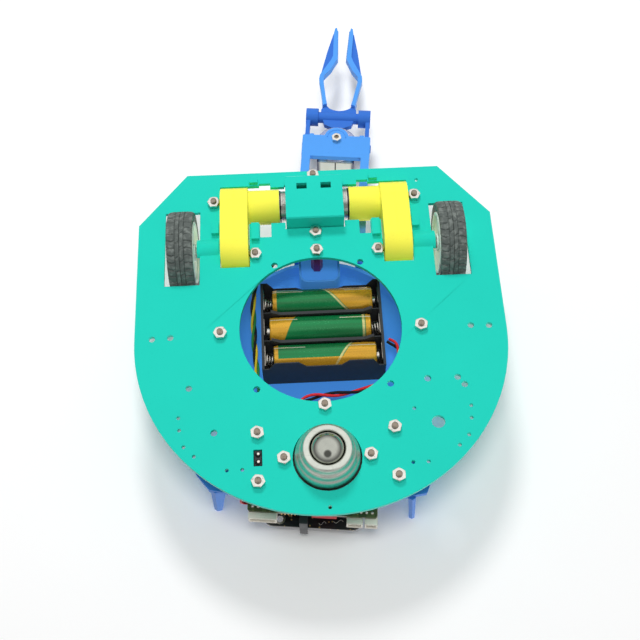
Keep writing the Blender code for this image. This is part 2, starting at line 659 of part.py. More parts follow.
def circuit_boards(deck, green, black, white, steel):
    """The driver board hangs under the deck's tongue, and the controller board lies over it."""
    spacers = [(-20.0, -62.0), (20.0, -62.0)]
    holes = [circle(x, y, 1.5, 12) for x, y in spacers]
    piece("driver_board", sheet(rounded(-29.0, 29.0, -82.8, -53.2, 1.2), BOARD_LOW, BOARD_HIGH, holes),
          deck, green)
    for name, (x, y) in zip(("left", "right"), spacers):
        spacer = rod((x, y, BOARD_HIGH + FIT), (x, y, DECK_LOW - FIT), 2.8, 16)
        join(spacer, rod((x, y, 37.0), (x, y, BOARD_HIGH + 1.0), 1.2, 12))
        piece(f"board_spacer_{name}", spacer, deck, steel)
    for name, start, end in (("outer", -29.3, -23.6), ("inner", -22.7, -15.5), ("right", 15.8, 28.5)):
        socket = block((start, -85.6, BOARD_HIGH + FIT), (end, -79.4, 45.5))
        cut(socket, block((start + 0.8, -87.0, 40.8), (end - 0.8, -81.4, 44.6)))
        piece(f"connector_{name}", socket, deck, white)
    board = sheet(rounded(-23.0, 23.0, -84.5, -33.0, 5.0, 5), 53.0, 54.6, [circle(15.0, -81.1, 1.5, 14)])
    for side in (-1, 1):
        start, end = sorted((side * 18.4, side * 20.9))
        join(board, block((start, -62.0, DECK_HIGH + FIT), (end, -40.0, 53.5)))
    piece("controller_board", board, deck, black)
    clip = block((1.9, -86.7, BOARD_HIGH + FIT), (5.5, -84.9, 55.8))
    join(clip, block((1.9, -86.0, BOARD_HIGH + FIT), (5.5, -80.0, BOARD_HIGH + 1.6)),
         block((1.9, -86.0, 54.9), (5.5, -80.5, 55.8)))
    piece("board_clip", clip, deck, black)


def centre_bolt(root, steel):
    """Holds the deck on the dish. It stands on the deck's own axis."""
    x = DECK_SHIFT / 2
    shank = rod((x, 0, DISH_FLOOR + FIT), (x, 0, DECK_HIGH + 1.0), 1.6, 16)
    join(shank, rod((x, 0, DECK_HIGH + 0.2), (x, 0, 52.6), 4.0, 6))
    return piece("centre_bolt", shank, root, steel)


# ---------------------------------------------------------------- gripper


def gripper_bracket(deck, blue):
    """The low plate with its round tab, two arms back to the deck's rails, and two cheeks at its front."""
    bar = sheet(rounded(-18.0, 18.0, 110.2, 124.0, 0.8, 2), BRACKET_LOW, BRACKET_HIGH)
    join(bar, rod((0, 122.9, BRACKET_LOW), (0, 122.9, BRACKET_HIGH), 6.4, 24))
    for side in (-1, 1):
        start, end = sorted((side * ARM_IN, side * ARM_OUT))
        join(bar, block((start, 52.0, BRACKET_LOW), (end, 112.0, BRACKET_HIGH)),
             block((start, 52.0, BRACKET_LOW), (end, 57.4, DECK_LOW - FIT)))
        start, end = sorted((side * 12.2, side * 14.6))
        join(bar, block((start, 119.2, BRACKET_LOW + 1.0), (end, 125.6, 46.0)))
        cut(bar, rod((side * 10, TILT_Y, TILT_Z), (side * 16, TILT_Y, TILT_Z), 1.8, 16))
    cut(bar, rod((0, HORN_Y, 30), (0, HORN_Y, 38), 1.9, 16))
    return piece("gripper_bracket", bar, deck, blue)


def servo(deck, navy):
    """The servo between the cheeks: its case, two tabs that rest on the cheeks, and its output boss."""
    case = block((-10.0, 111.5, 40.0), (10.0, 129.5, 63.0), 1.2, 2)
    join(case, block((-14.6, 119.4, 46.3), (14.6, 125.2, 48.6)),
         rod((0, HORN_Y, 39.3), (0, HORN_Y, 41), 5.4, 24))
    return piece("gripper_servo", case, deck, navy)


def servo_horn(deck, clear, steel):
    """The round horn on the servo's output, and the screw in the tab below it."""
    pivot = (0.0, HORN_Y, 38.0)
    disc = rod((0, HORN_Y, 37.0), (0, HORN_Y, 39.0), HORN_RADIUS, 32)
    cut(disc, rod((0, HORN_Y, 36), (0, HORN_Y, 37.6), 2.6, 16))
    piece("servo_horn", disc, deck, clear, pivot=pivot)
    shank = rod((0, HORN_Y, 31.8), (0, HORN_Y, 36.7), 1.5, 12)
    join(shank, rod((0, HORN_Y, 31.0), (0, HORN_Y, BRACKET_LOW - 0.2), 2.3, 16, end_radius=2.7))
    piece("horn_screw", shank, deck, steel)


def wrist_outline():
    """The plate that carries the jaws: a neck towards the horn, rounded corners, a hollow front edge."""
    x, y = JAW_PIVOT
    right = [(3.2, 134.4), (7.4, 136.6), (9.6, 143.0)] + arc(x, y, 3.1, -20, 96, 6)
    hollow = arc(0.0, 156.0, 9.9, -46, -90, 4)
    return right + hollow + [(-px, py) for px, py in reversed(right + hollow[:-1])]


def tilt_frame(deck, blue):
    """Two links with pins, the cross tube between its bosses, and the wrist plate that carries the jaws."""
    pivot = (0.0, TILT_Y, TILT_Z)
    tube = rod((-12.0, TUBE_Y, TILT_Z), (12.0, TUBE_Y, TILT_Z), 3.0, 16)
    join(tube, sheet(wrist_outline(), 39.6, 42.4))
    for side in (-1, 1):
        link = rounded(TILT_Y - 3.0, TUBE_Y, TILT_Z - 2.6, TILT_Z + 2.6, 2.4, 3)
        join(tube, rod((side * 10.9, TUBE_Y, TILT_Z), (side * 17.5, TUBE_Y, TILT_Z), 4.85, 16),
             sheet(link, *sorted((side * 15.0, side * 17.2)), axis="X"),
             rod((side * 12.6, TILT_Y, TILT_Z), (side * 17.0, TILT_Y, TILT_Z), 1.5, 8),
             rod((side * 17.0, TILT_Y, TILT_Z), (side * 18.5, TILT_Y, TILT_Z), 2.4, 12, end_radius=2.1))
        x, y = JAW_PIVOT
        join(tube, rod((side * x, y, 41), (side * x, y, 46.6), 1.3, 8),
             rod((side * x, y, JAW_HIGH + 0.6), (side * x, y, 47.3), 2.3, 12))
    return piece("tilt_frame", tube, deck, blue, pivot=pivot)


def serrated_edge():
    """The gripping edge of the jaw at -X from the tip down: small teeth at an even pitch."""
    top, bottom, teeth = 203.1, 183.4, 11
    points = []
    for i in range(teeth):
        along = i / (teeth - 1)
        y = top + (bottom - top) * along
        points += [(-3.65 + 0.8 * along, y), (-3.05 + 0.8 * along, y - 1.0)]
    return points


def jaw_bar():
    """The jaw's bar seen from above, for the jaw at -X."""
    outer = [(-8.4, 145.8), (-10.3, 158.0), (-12.0, 166.8), (-11.7, 169.8), (-6.2, 180.8), (-5.2, 184.0),
             (-5.6, 200.9),
             (-5.1, 204.3), (-4.4, JAW_TIP)]
    inner = [(-3.9, 204.7), *serrated_edge(), (-3.3, 180.2), (-6.0, 174.0), (-9.4, 169.2), (-9.5, 165.6),
             (-7.4, 153.0),
             (-6.0, 146.4)]
    return outer + inner


def jaws(deck, blue):
    """Each jaw is a bar, a thin web outside its tip part, and an eye over the wrist plate."""
    x, y = JAW_PIVOT
    for name, side in (("left", -1), ("right", 1)):
        bar = sheet(jaw_bar(), JAW_LOW, JAW_HIGH)
        cut(bar, rod((-x, y, 30), (-x, y, EYE_LOW), 3.5, 16), block((-12, 140, 30), (-2, y, 50)))
        cut(bar, block((-14, 153.5, JAW_LOW + 4.0), (0, 210, 50)))
        web = sheet([(-4.6, 203.9), (-6.0, 201.4), (-8.6, 188.5), (-11.5, 170.7), (-9.0, 172.0),
                     (-5.0, 181.0)],
                    39.6, 41.2)
        neck = sheet([(-9.2, y), (-9.2, 150.4), (-7.0, 150.4), (-4.4, y)], EYE_LOW, JAW_HIGH)
        join(bar, web, rod((-x, y, EYE_LOW), (-x, y, JAW_HIGH + 0.3), 2.8, 16), neck)
        cut(bar, rod((-x, y, 40), (-x, y, 50), 1.3 + FIT, 10))
        if side > 0:
            mirror(bar)
        piece(f"jaw_{name}", bar, deck, blue, pivot=(side * x, y, 45.0))


# ---------------------------------------------------------------- wiring


def wiring(root, deck, wire):
    """The cables that the robot holds all the way: each is one plain tube along its real route."""
    cable("motor_cable", [(12, 62, 30.5), (16, 50, 31), (22, 43, 30), (28.6, 36.5, 29.5), (31.4, 26, 31),
                          (31.8, 12, 33.5), (31.6, -2, 36), (30.5, -16, 36.5), (28, -32, 34.5),
                          (24, -48, 34),
                          (19, -58, 36.0)], 1.4, root, wire)
    cable("battery_cable", [(-32.4, 0.5, 34), (-36, -3.5, 32.5), (-37, -11, 31), (-32, -19, 31.5),
                            (-22, -24, 33.5),
                            (-10, -26, 34.5), (4, -27, 34), (11, -32, 30.5), (13, -42, 29), (12, -52, 31),
                            (9, -59, 34), (8, -62, 36.2)], 1.3, root, wire)
    cable("sensor_cable", [(31, -70, 25.4), (35, -71, 27), (38, -72.5, 31), (38.8, -73.5, 36),
                           (38.9, -74, 39.8), (36.4, -74.3, 42.4), (31.5, -74.5, 43.2)], 1.2, root, wire)
    cable("servo_cable", [(4, 110.6, 58), (5, 104, 57), (6, 90, 54.5), (6.5, 70, 53.4), (7, 50, 53.2),
                          (7.4, 20, 53.0),
                          (7.6, -8, 53.0), (7.6, -31, 53.4)], 1.2, deck, wire)


def build():
    start_scene()
    teal = material("teal_plastic", (0.02, 0.62, 0.50), 0.4)
    yellow = material("yellow_plastic", (0.95, 0.86, 0.03), 0.4)
    blue = material("blue_plastic", (0.03, 0.16, 0.62), 0.4)
    light_blue = material("light_blue_plastic", (0.04, 0.28, 0.82), 0.45)
    black = material("black_plastic", (0.02, 0.02, 0.022), 0.5)
    navy = material("navy_plastic", (0.02, 0.03, 0.16), 0.3)
    grey = material("grey_plastic", (0.62, 0.62, 0.58), 0.5)
    white = material("white_plastic", (0.85, 0.83, 0.76), 0.5)
    rubber = material("rubber", (0.035, 0.036, 0.035), 0.8)
    steel = material("zinc_steel", (0.75, 0.74, 0.72), 0.25, 1.0)
    bright = material("polished_steel", (0.85, 0.85, 0.84), 0.08, 1.0)
    gold = material("cell_foil", (0.83, 0.53, 0.12), 0.3, 0.8)
    green = material("circuit_board", (0.02, 0.13, 0.05), 0.4)
    violet = material("violet_anodised", (0.32, 0.03, 0.14), 0.35, 0.4)
    wire = material("wire_insulation", (0.05, 0.05, 0.05), 0.5)

    root = frame("robot", (0.0, -Y_CENTRE, 0.0))
    chassis_plate(root, teal)
    fasteners(root, steel)
    standoffs(root, violet)
    motor_cover(root, teal)
    for name, side in (("left", -1), ("right", 1)):
        gearbox(f"gearbox_{name}", side, root, yellow)
        motor(f"motor_{name}", side, root, steel)
        wheel(name, side, root, steel, grey, rubber)
    caster(root, steel, bright)
    base_dish(root, blue)
    battery_holder(root, black)
    cells(root, gold)
    line_sensor(root, black, green)
    centre_bolt(root, steel)

    deck = frame("deck", (DECK_SHIFT, 0.0, 0.0), root, DECK_YAW)
    wiring(root, deck, wire)
    upper_deck(deck, blue)
    rear_legs(deck, blue)
    circuit_boards(deck, green, black, white, steel)
    gripper_bracket(deck, light_blue)
    servo(deck, navy)
    servo_horn(deck, white, steel)
    tilt_frame(deck, light_blue)
    jaws(deck, light_blue)


build()
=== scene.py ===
"""The looks of a line follower robot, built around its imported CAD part.

The part stands on its wheels, and the robot is seen from below, lying upside down on a pale table. So the
camera is under the part and looks up at it. One white surface lies below the wheels and another above the
deck, and each is clear from its back, so that the robot can be seen from every side. Detailed pieces are
drawn in millimetres in the chassis's frame or in the upper deck's, as the CAD is.
"""

import json
import math

import bmesh
import bpy
from mathutils import Matrix, Vector


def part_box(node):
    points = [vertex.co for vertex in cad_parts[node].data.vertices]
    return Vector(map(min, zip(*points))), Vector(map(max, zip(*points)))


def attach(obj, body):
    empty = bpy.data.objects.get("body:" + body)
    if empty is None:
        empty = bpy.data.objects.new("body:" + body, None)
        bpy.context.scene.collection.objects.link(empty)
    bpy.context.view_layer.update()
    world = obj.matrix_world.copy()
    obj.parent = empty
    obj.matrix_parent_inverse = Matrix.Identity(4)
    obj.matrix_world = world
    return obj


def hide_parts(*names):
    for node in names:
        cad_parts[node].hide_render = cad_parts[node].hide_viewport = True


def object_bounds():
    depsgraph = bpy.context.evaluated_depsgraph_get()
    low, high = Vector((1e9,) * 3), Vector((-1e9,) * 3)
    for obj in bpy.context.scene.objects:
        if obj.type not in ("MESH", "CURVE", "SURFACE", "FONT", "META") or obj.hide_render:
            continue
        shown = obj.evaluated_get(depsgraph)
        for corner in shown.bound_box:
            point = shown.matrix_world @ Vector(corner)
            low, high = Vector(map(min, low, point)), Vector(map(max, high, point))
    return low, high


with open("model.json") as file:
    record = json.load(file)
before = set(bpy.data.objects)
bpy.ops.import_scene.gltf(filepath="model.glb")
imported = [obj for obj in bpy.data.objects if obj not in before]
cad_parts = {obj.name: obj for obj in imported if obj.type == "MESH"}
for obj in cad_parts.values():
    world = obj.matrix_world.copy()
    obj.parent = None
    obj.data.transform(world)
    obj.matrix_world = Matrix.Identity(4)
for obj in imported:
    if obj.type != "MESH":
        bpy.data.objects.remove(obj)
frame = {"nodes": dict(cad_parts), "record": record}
cad_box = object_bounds()
nodes = frame["nodes"]

MM = 0.001
CASTER_Y = -64.0
BALL_LOW, BALL_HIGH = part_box("caster_ball")
CHASSIS = Matrix.Translation((0, (BALL_LOW.y + BALL_HIGH.y) / 2 - CASTER_Y * MM, 0)) @ Matrix.Scale(MM, 4)
DECK_TURN = math.radians(6.1)
DECK = CHASSIS @ Matrix.Translation((-1.05, 0, 0)) @ Matrix.Rotation(DECK_TURN, 4, "Z")
TABLE_GAP = 0.0002

# Sizes that several pieces share, in millimetres
NUT_LOW, NUT_HIGH, NUT_FLATS = 13.4, 15.8, 5.5
SCREW_END, THREAD_RADIUS = 12.2, 1.45
SCREWS = {
    "cover_screw": (20.3, [(0.0, 84.9), (0.0, 51.5)]),
    "gearbox_screw": (20.8, [(49.4, 70.6), (-49.4, 70.6), (29.5, 40.2), (-29.5, 40.2)]),
    "sensor_board_screw": (23.6, [(30.2, -51.8), (-30.2, -51.8), (30.2, -74.1), (-30.2, -74.1)]),
    "caster_screw": (19.5, [(18.9, -64.0), (-18.9, -64.0)]),
}
STANDOFFS = {"front": (0.0, 41.0), "rear": (0.0, -39.7), "left": (-46.4, -1.8), "right": (46.4, -1.8)}
AXLE_Y, AXLE_Z = 45.6, 20.0
TYRE_RADIUS, TYRE_BORE, TYRE_IN, TYRE_OUT = 20.0, 15.3, 58.4, 70.6
MOTOR_Y, CASE_FRONT_Y = 70.2, 68.8
CELL_X, CELL_Y, CELL_Z, CELL_PITCH = -1.0, 8.7, 36.6, 15.1
CELL_RADIUS, CELL_HALF, CELL_SHIFT = 7.1, 25.25, 1.6
HOLDER_HALF = 29.2
JAW_WEB_Z = 39.6
HORN_Y = 121.8
SERVO_FACE_Y = 111.5
DRIVER_LOW, DRIVER_HIGH = 38.0, 39.6
CONTROLLER_LOW, CONTROLLER_HIGH = 53.0, 54.6

# Strengths of the stage's planes and room
FLOOR_GLOW, TABLE_GLOW = 0.30, 0.09
EVEN_LIGHT, SEEN_LIGHT = 0.34, 0.9
LAMPS = (  # name, place, target, size and power, in metres and watts
    ("key_below", (0.05, 0.50, -0.74), (0, -0.02, 0.02), 0.22, 3.9),
    ("fill_below", (0.01, -0.24, -0.92), (0, -0.02, 0.02), 0.3, 3.8),
    ("key_above", (-0.35, -0.4, 0.75), (0, 0, 0.03), 0.45, 5.0),
    ("fill_above", (0.55, 0.3, 0.5), (0, 0, 0.03), 0.6, 1.8),
)
CAMERA_PLACE = (8.6, -223.6028, -411.1)  # in the chassis's frame
CAMERA_DEGREES = (-151.9843, -0.2746, -177.349)
CAMERA_SENSOR, CAMERA_LENS = 36.0, 58.605
PLASTIC_SHINE = 0.12


# ---------------------------------------------------------------- materials


def linear(red, green, blue):
    """A colour given as screen values from 0 to 255."""
    return tuple(
        v / 255 / 12.92 if v <= 10 else ((v / 255 + 0.055) / 1.055) ** 2.4 for v in (red, green, blue)
    ) + (1.0,)


class Tree:
    """A material's node tree, with short ways to add what most materials here need."""

    def __init__(self, name):
        self.material = bpy.data.materials.new(name)
        self.material.use_nodes = True
        self.tree = self.material.node_tree
        self.tree.nodes.clear()
        self.output = self.tree.nodes.new("ShaderNodeOutputMaterial")
        self.place = self.add("TexCoord").outputs["Object"]

    def add(self, kind, settings=None, **inputs):
        made = self.tree.nodes.new("ShaderNode" + kind)
        for key, value in (settings or {}).items():
            setattr(made, key, value)
        for key, value in inputs.items():
            self.give(made.inputs[key.replace("_", " ")], value)
        return made

    def give(self, socket, value):
        if isinstance(value, bpy.types.NodeSocket):
            self.tree.links.new(value, socket)
        else:
            socket.default_value = value

    def math(self, operation, *values):
        made = self.add("Math", {"operation": operation})
        for socket, value in zip(made.inputs, values):
            self.give(socket, value)
        return made.outputs[0]

    def above(self, value, edge, soft):
        """0 below the edge and 1 above it, turning over a soft width."""
        made = self.add("MapRange", {"interpolation_type": "SMOOTHSTEP"}, Value=value)
        self.give(made.inputs["From Min"], edge - soft)
        self.give(made.inputs["From Max"], edge + soft)
        return made.outputs[0]

    def noise(self, scale, detail=3.0, stretch=(1, 1, 1)):
        place = self.place
        if stretch != (1, 1, 1):
            place = self.add("Mapping", Vector=place, Scale=stretch).outputs[0]
        return self.add("TexNoise", Vector=place, Scale=scale, Detail=detail).outputs["Fac"]

    def mix(self, share, first, second):
        made = self.add("Mix", {"data_type": "RGBA"})
        self.give(made.inputs[0], share)
        self.give(made.inputs[6], first)
        self.give(made.inputs[7], second)
        return made.outputs[2]

    def spread(self, value, low, high):
        made = self.add("MapRange", Value=value)
        self.give(made.inputs["To Min"], low)
        self.give(made.inputs["To Max"], high)
        return made.outputs[0]

    def axes(self):
        return self.add("SeparateXYZ", Vector=self.place).outputs

    def finish(self, colour, rough, height, depth, **sockets):
        """Ends the tree in a Principled shader. Rough is a pair of limits that a noise moves between."""
        patches = self.noise(310, 2)
        bump = self.add("Bump", Height=height, Strength=0.6, Distance=depth).outputs[0]
        shader = self.add("BsdfPrincipled", Base_Color=colour, Normal=bump)
        self.give(shader.inputs["Roughness"], self.spread(patches, *rough))
        for key, value in sockets.items():
            self.give(shader.inputs[key.replace("_", " ")], value)
        self.give(self.output.inputs["Surface"], shader.outputs[0])
        return self.material


def tinted(colour, factor):
    return tuple(min(1.0, c * factor) for c in colour[:3]) + (1.0,)


def moulded(name, colour, rough=(0.34, 0.46), grain=2600, depth=0.00003, vary=0.06, **sockets):
    """Moulded plastic: flow patches in its colour, a fine skin, and a few rubbed specks."""
    tree = Tree(name)
    flow = tree.noise(38, 4)
    body = tree.mix(flow, tinted(colour, 1 - vary), tinted(colour, 1 + vary))
    specks = tree.above(tree.noise(1500, 1), 0.72, 0.03)
    body = tree.mix(tree.math("MULTIPLY", specks, 0.35), body, tinted(colour, 0.7))
    skin = tree.math("ADD", tree.noise(grain, 2), tree.math("MULTIPLY", tree.noise(170, 2), 2.0))
    sockets.setdefault("Specular_IOR_Level", PLASTIC_SHINE)
    return tree.finish(body, rough, skin, depth, **sockets)


def metal(name, colour, rough=(0.18, 0.34), stretch=(1, 1, 1), depth=0.00002, spots=0.6, **sockets):
    """Plated or machined metal: fine drawn lines and dull patches."""
    tree = Tree(name)
    lines = tree.noise(2400, 3, stretch)
    tone = tree.mix(tree.noise(260, 4), tinted(colour, 0.82), tinted(colour, 1.08))
    tone = tree.mix(tree.above(tree.noise(900, 3), 0.62, 0.06), tone, tinted(colour, spots))
    return tree.finish(tone, rough, lines, depth, Metallic=1.0, **sockets)


def rubber():
    tree = Tree("tyre_rubber")
    dust = tree.above(tree.noise(420, 5), 0.56, 0.10)
    scuffs = tree.above(tree.noise(1900, 3, (0.25, 1, 1)), 0.66, 0.05)
    tone = tree.mix(dust, linear(84, 91, 88), linear(116, 123, 119))
    tone = tree.mix(tree.math("MULTIPLY", scuffs, 0.6), tone, linear(134, 140, 134))
    return tree.finish(tone, (0.55, 0.8), tree.noise(3200, 4), 0.00005)


def board(name, mask, copper, trace_scale=240):
    """A circuit board: solder mask over copper tracks, with small plated holes."""
    tree = Tree(name)
    cells = tree.add("TexVoronoi", {"distance": "CHEBYCHEV", "feature": "F1"}, Vector=tree.place,
                     Scale=trace_scale)
    tracks = tree.above(cells.outputs["Distance"], 0.42, 0.03)
    holes = tree.add("TexVoronoi", {"feature": "F1"}, Vector=tree.place, Scale=390.0)
    plated = tree.math("SUBTRACT", 1.0, tree.above(holes.outputs["Distance"], 0.17, 0.03))
    tone = tree.mix(tracks, mask, tinted(mask, 1.6))
    tone = tree.mix(tree.math("MULTIPLY", plated, 0.85), tone, copper)
    return tree.finish(tone, (0.28, 0.42), tracks, 0.00004)


def foil(name, x, y, turned_share, left, right, low):
    """A cell's printed foil: green over gold, parted by a slanting line that runs round the cell.

    Left and right are each (place, slant): where green starts and ends along the cell, from -0.5 to 0.5, and
    how that moves with the angle round it. Low is the angle that green stays above."""
    tree = Tree(name)
    px, py, pz = tree.axes()[:3]
    along = tree.math("DIVIDE", tree.math("SUBTRACT", x * MM, px), 2 * CELL_HALF * MM)
    angle = tree.math("ARCTAN2", tree.math("SUBTRACT", py, y), tree.math("SUBTRACT", CELL_Z * MM, pz))
    wave = tree.math("MULTIPLY", tree.math("SINE", tree.math("MULTIPLY", angle, 1.4)), turned_share)
    starts = tree.math("ADD", tree.math("MULTIPLY", angle, left[1]), left[0])
    ends = tree.math("ADD", tree.math("ADD", tree.math("MULTIPLY", angle, right[1]), right[0]), wave)
    green = tree.above(tree.math("SUBTRACT", along, starts), 0.0, 0.004)
    green = tree.math("MULTIPLY", green, tree.above(tree.math("SUBTRACT", ends, along), 0.0, 0.004))
    green = tree.math("MULTIPLY", green, tree.above(angle, low, 0.02))
    tone = tree.mix(green, linear(214, 160, 42), linear(6, 122, 66))
    near = tree.math("ABSOLUTE", tree.math("SUBTRACT", tree.math("SUBTRACT", ends, along), 0.02))
    line = tree.math("SUBTRACT", 1.0, tree.above(near, 0.012, 0.003))
    tone = tree.mix(tree.math("MULTIPLY", line, 0.7), tone, linear(240, 222, 150))
    band = tree.math("SUBTRACT", 1.0, tree.above(tree.math("ABSOLUTE", tree.math("SUBTRACT", angle, 0.5)),
                                                 0.045, 0.01))
    band = tree.math("MULTIPLY", band, tree.above(tree.math("ABSOLUTE", along), 0.2, 0.004))
    tone = tree.mix(tree.math("MULTIPLY", band, 0.8), tone, linear(232, 228, 214))
    # Painted reflection: dark streaks running along the cell stand in for the dark bands that the foil
    # reflects.
    reflection_streaks = tree.above(tree.noise(340, 2, (0.03, 1, 1)), 0.52, 0.12)
    tone = tree.mix(tree.math("MULTIPLY", reflection_streaks, 0.35), tone, tinted(linear(60, 60, 30), 0.5))
    return tree.finish(tone, (0.2, 0.34), tree.noise(900, 2, (1, 6, 6)), 0.00002, Metallic=0.35)


def label():
    """The servo's printed sticker: cream in the middle, with painted shade at its sides where it bends away
    round the case.
    """
    tree = Tree("servo_label_painted_shade")
    turn = math.cos(DECK_TURN), math.sin(DECK_TURN)
    px, py = tree.axes()[:2]
    shift = (-1.05 * MM * turn[0]) + CHASSIS.translation.y * turn[1]
    across = tree.math("ADD", tree.math("MULTIPLY", px, turn[0]), tree.math("MULTIPLY", py, turn[1]))
    side = tree.math("ABSOLUTE", tree.math("SUBTRACT", across, shift))
    # Painted shade: the sticker darkens towards both sides, where it bends away from the light.
    dark = tree.above(side, 0.0086, 0.0012)
    tone = tree.mix(tree.noise(120, 2), linear(250, 247, 232), linear(238, 236, 224))
    tone = tree.mix(dark, tone, linear(60, 66, 92))
    return tree.finish(tone, (0.3, 0.42), tree.noise(1800, 2), 0.00001)


def clear_plastic():
    tree = Tree("clear_plastic")
    tone = tree.mix(tree.noise(180, 3), linear(146, 156, 196), linear(172, 180, 210))
    return tree.finish(tone, (0.16, 0.3), tree.noise(700, 2), 0.00002, Transmission_Weight=0.35, IOR=1.49)


TEAL = moulded("teal_plastic", linear(34, 206, 186), (0.3, 0.42), vary=0.035)
YELLOW = moulded("yellow_plastic", linear(252, 246, 86), (0.34, 0.48), vary=0.03)
# The dish's blue glows through an emission: painted light, standing in for light that reaches the dish
# inside the opening.
DISH_PAINTED_GLOW = moulded("dish_plastic_painted_glow", linear(64, 124, 206), (0.3, 0.46), vary=0.06,
               Emission_Color=(0.09, 0.40, 1.0, 1.0), Emission_Strength=0.24)
BLUE = moulded("blue_plastic", linear(74, 138, 228), (0.36, 0.5), vary=0.06)
# A darker copy of the blue plastic: painted shade, for the tilt frame and the jaws' recessed webs.
BLUE_PAINTED_SHADE = moulded("darker_blue_painted_shade", linear(60, 116, 208), (0.36, 0.5), vary=0.05)
SKY = moulded("light_blue_plastic", linear(86, 158, 240), (0.36, 0.5), vary=0.05)
BLACK = moulded("black_plastic", linear(60, 62, 64), (0.36, 0.55), vary=0.2)
NAVY = moulded("navy_plastic", linear(28, 38, 86), (0.26, 0.4), vary=0.12)
GREY = moulded("grey_plastic", linear(234, 244, 234), (0.4, 0.55), vary=0.05)
WHITE = moulded("white_plastic", linear(238, 234, 222), (0.4, 0.55), vary=0.03)
DARK = moulded("dark_resin", linear(22, 22, 24), (0.25, 0.45), vary=0.25)
RED = moulded("red_plastic", linear(196, 42, 46), (0.35, 0.5), vary=0.1)
TAN = moulded("tan_ceramic", linear(176, 142, 96), (0.4, 0.6), vary=0.1)
VIOLET = metal("violet_anodised", linear(196, 66, 104), (0.3, 0.44), (1, 1, 0.1))
NICKEL = metal("nickel_plate", linear(224, 220, 212), (0.22, 0.36))
STUD = metal("plated_stud", linear(150, 138, 124), (0.34, 0.5))
# The flange's dark grey is painted shade for the narrow gap round the caster's cup, not the metal's own
# colour.
FLANGE_PAINTED_SHADE = metal("flange_painted_shade", linear(74, 76, 72), (0.4, 0.55))
CUP = metal("pressed_nickel", linear(206, 210, 200), (0.3, 0.44), (1, 1, 12), 0.00003, 0.85)
MIRROR = metal("polished_ball", linear(168, 170, 161), (0.07, 0.13), (1, 1, 1), 0.000002, 0.96)
BRASS = metal("gold_pads", linear(214, 176, 92), (0.25, 0.4))
CAN = metal("motor_can", linear(214, 212, 206), (0.28, 0.4), (0.05, 1, 1))
TYRE = rubber()
GREEN_BOARD = board("circuit_board", linear(78, 84, 50), linear(196, 170, 112))
BLACK_BOARD = board("black_board", linear(22, 24, 26), linear(196, 168, 108), 210)
LABEL_PAINTED_SHADE = label()
CLEAR = clear_plastic()
WIRES = {
    "red": moulded("red_wire", linear(214, 50, 56), (0.3, 0.45), vary=0.08),
    "black": moulded("black_wire", linear(30, 30, 31), (0.3, 0.45), vary=0.2),
    "green": moulded("green_wire", linear(46, 122, 60), (0.3, 0.45), vary=0.08),
    "yellow": moulded("yellow_wire", linear(204, 178, 48), (0.3, 0.45), vary=0.08),
    "brown": moulded("brown_wire", linear(112, 70, 44), (0.3, 0.45), vary=0.08),
}
SLOT_FINISH = {
    "teal_plastic": TEAL, "yellow_plastic": YELLOW, "blue_plastic": BLUE, "light_blue_plastic": SKY,
    "black_plastic": BLACK, "navy_plastic": NAVY, "grey_plastic": GREY, "white_plastic": WHITE,
    "tyre_rubber": TYRE, "zinc_steel": NICKEL, "polished_steel": MIRROR, "cell_foil": BRASS,
    "circuit_board": GREEN_BOARD, "black_board": BLACK_BOARD, "violet_anodised": VIOLET,
    "wire_insulation": WIRES["black"],
}


# ---------------------------------------------------------------- mesh code


def skin(bm, rings, finish=0, loop=False):
    """Faces between rings of points. A ring of one point closes the shape there."""
    made = [[bm.verts.new(p) for p in ring] for ring in rings]
    pairs = list(zip(made, made[1:]))
    if loop:
        pairs.append((made[-1], made[0]))
    for first, second in pairs:
        count = max(len(first), len(second))
        for i in range(count):
            j = (i + 1) % count
            corners = [first[i % len(first)], first[j % len(first)], second[j % len(second)],
                       second[i % len(second)]]
            unique = list(dict.fromkeys(corners))
            if len(unique) > 2:
                bm.faces.new(unique).material_index = finish
    return made


def lathe(bm, profile, centre=(0, 0, 0), along="Z", sides=40, finish=0, turn=0.0, outline=None):
    """Turns a profile of (radius, height) about an axis. Outline may change the radius with the angle."""
    spin = {"Z": Matrix.Identity(3), "X": Matrix(((0, 0, 1), (1, 0, 0), (0, 1, 0))),
            "Y": Matrix(((1, 0, 0), (0, 0, -1), (0, 1, 0)))}[along]
    rings = []
    for radius, height in profile:
        ring = []
        for i in range(sides if radius > 1e-6 else 1):
            angle = turn + math.tau * i / sides
            r = outline(radius, angle - turn) if outline else radius
            ring.append(Vector(centre) + spin @ Vector((r * math.cos(angle), r * math.sin(angle), height)))
        rings.append(ring)
    return skin(bm, rings, finish)


def hexagon(radius, angle):
    """The radius of a hexagon, whose corners are at this radius, at an angle."""
    return radius * math.cos(math.pi / 6) / math.cos((angle % (math.pi / 3)) - math.pi / 6)


def nut(bm, x, y, low, high, flats, turn, bore=1.5, finish=0):
    """A chamfered hex nut round a bore."""
    corner, flat, sides = flats / math.sqrt(3), flats / 2, 36
    rings = []
    for height, step in ((low, 1), (high, -1)):
        for reach in ((bore, flat * 0.96, corner) if step > 0 else (corner, flat * 0.96, bore)):
            ring = []
            for i in range(sides):
                angle = math.tau * i / sides
                r = min(reach, hexagon(corner, angle)) if reach == corner else reach
                drop = max(0.0, r - flat * 0.96) * 0.55
                ring.append(Vector((x + r * math.cos(angle + turn), y + r * math.sin(angle + turn),
                                    height + step * drop)))
            rings.append(ring)
    skin(bm, rings, finish, loop=True)


def thread(bm, x, y, low, high, radius, pitch=0.5, finish=0, tip=True):
    """A threaded shank whose lower end is cut flat with a small chamfer."""
    steps = max(2, round((high - low) / (pitch / 2)))
    profile = [(0, low), (radius - 0.45, low), (radius - 0.25, low + 0.12)] if tip else [(0, low)]
    for i in range(1, steps + 1):
        profile.append((radius if i % 2 else radius - 0.26, low + (high - low) * i / steps))
    profile.append((0, high))
    lathe(bm, profile, (x, y, 0), sides=20, finish=finish)


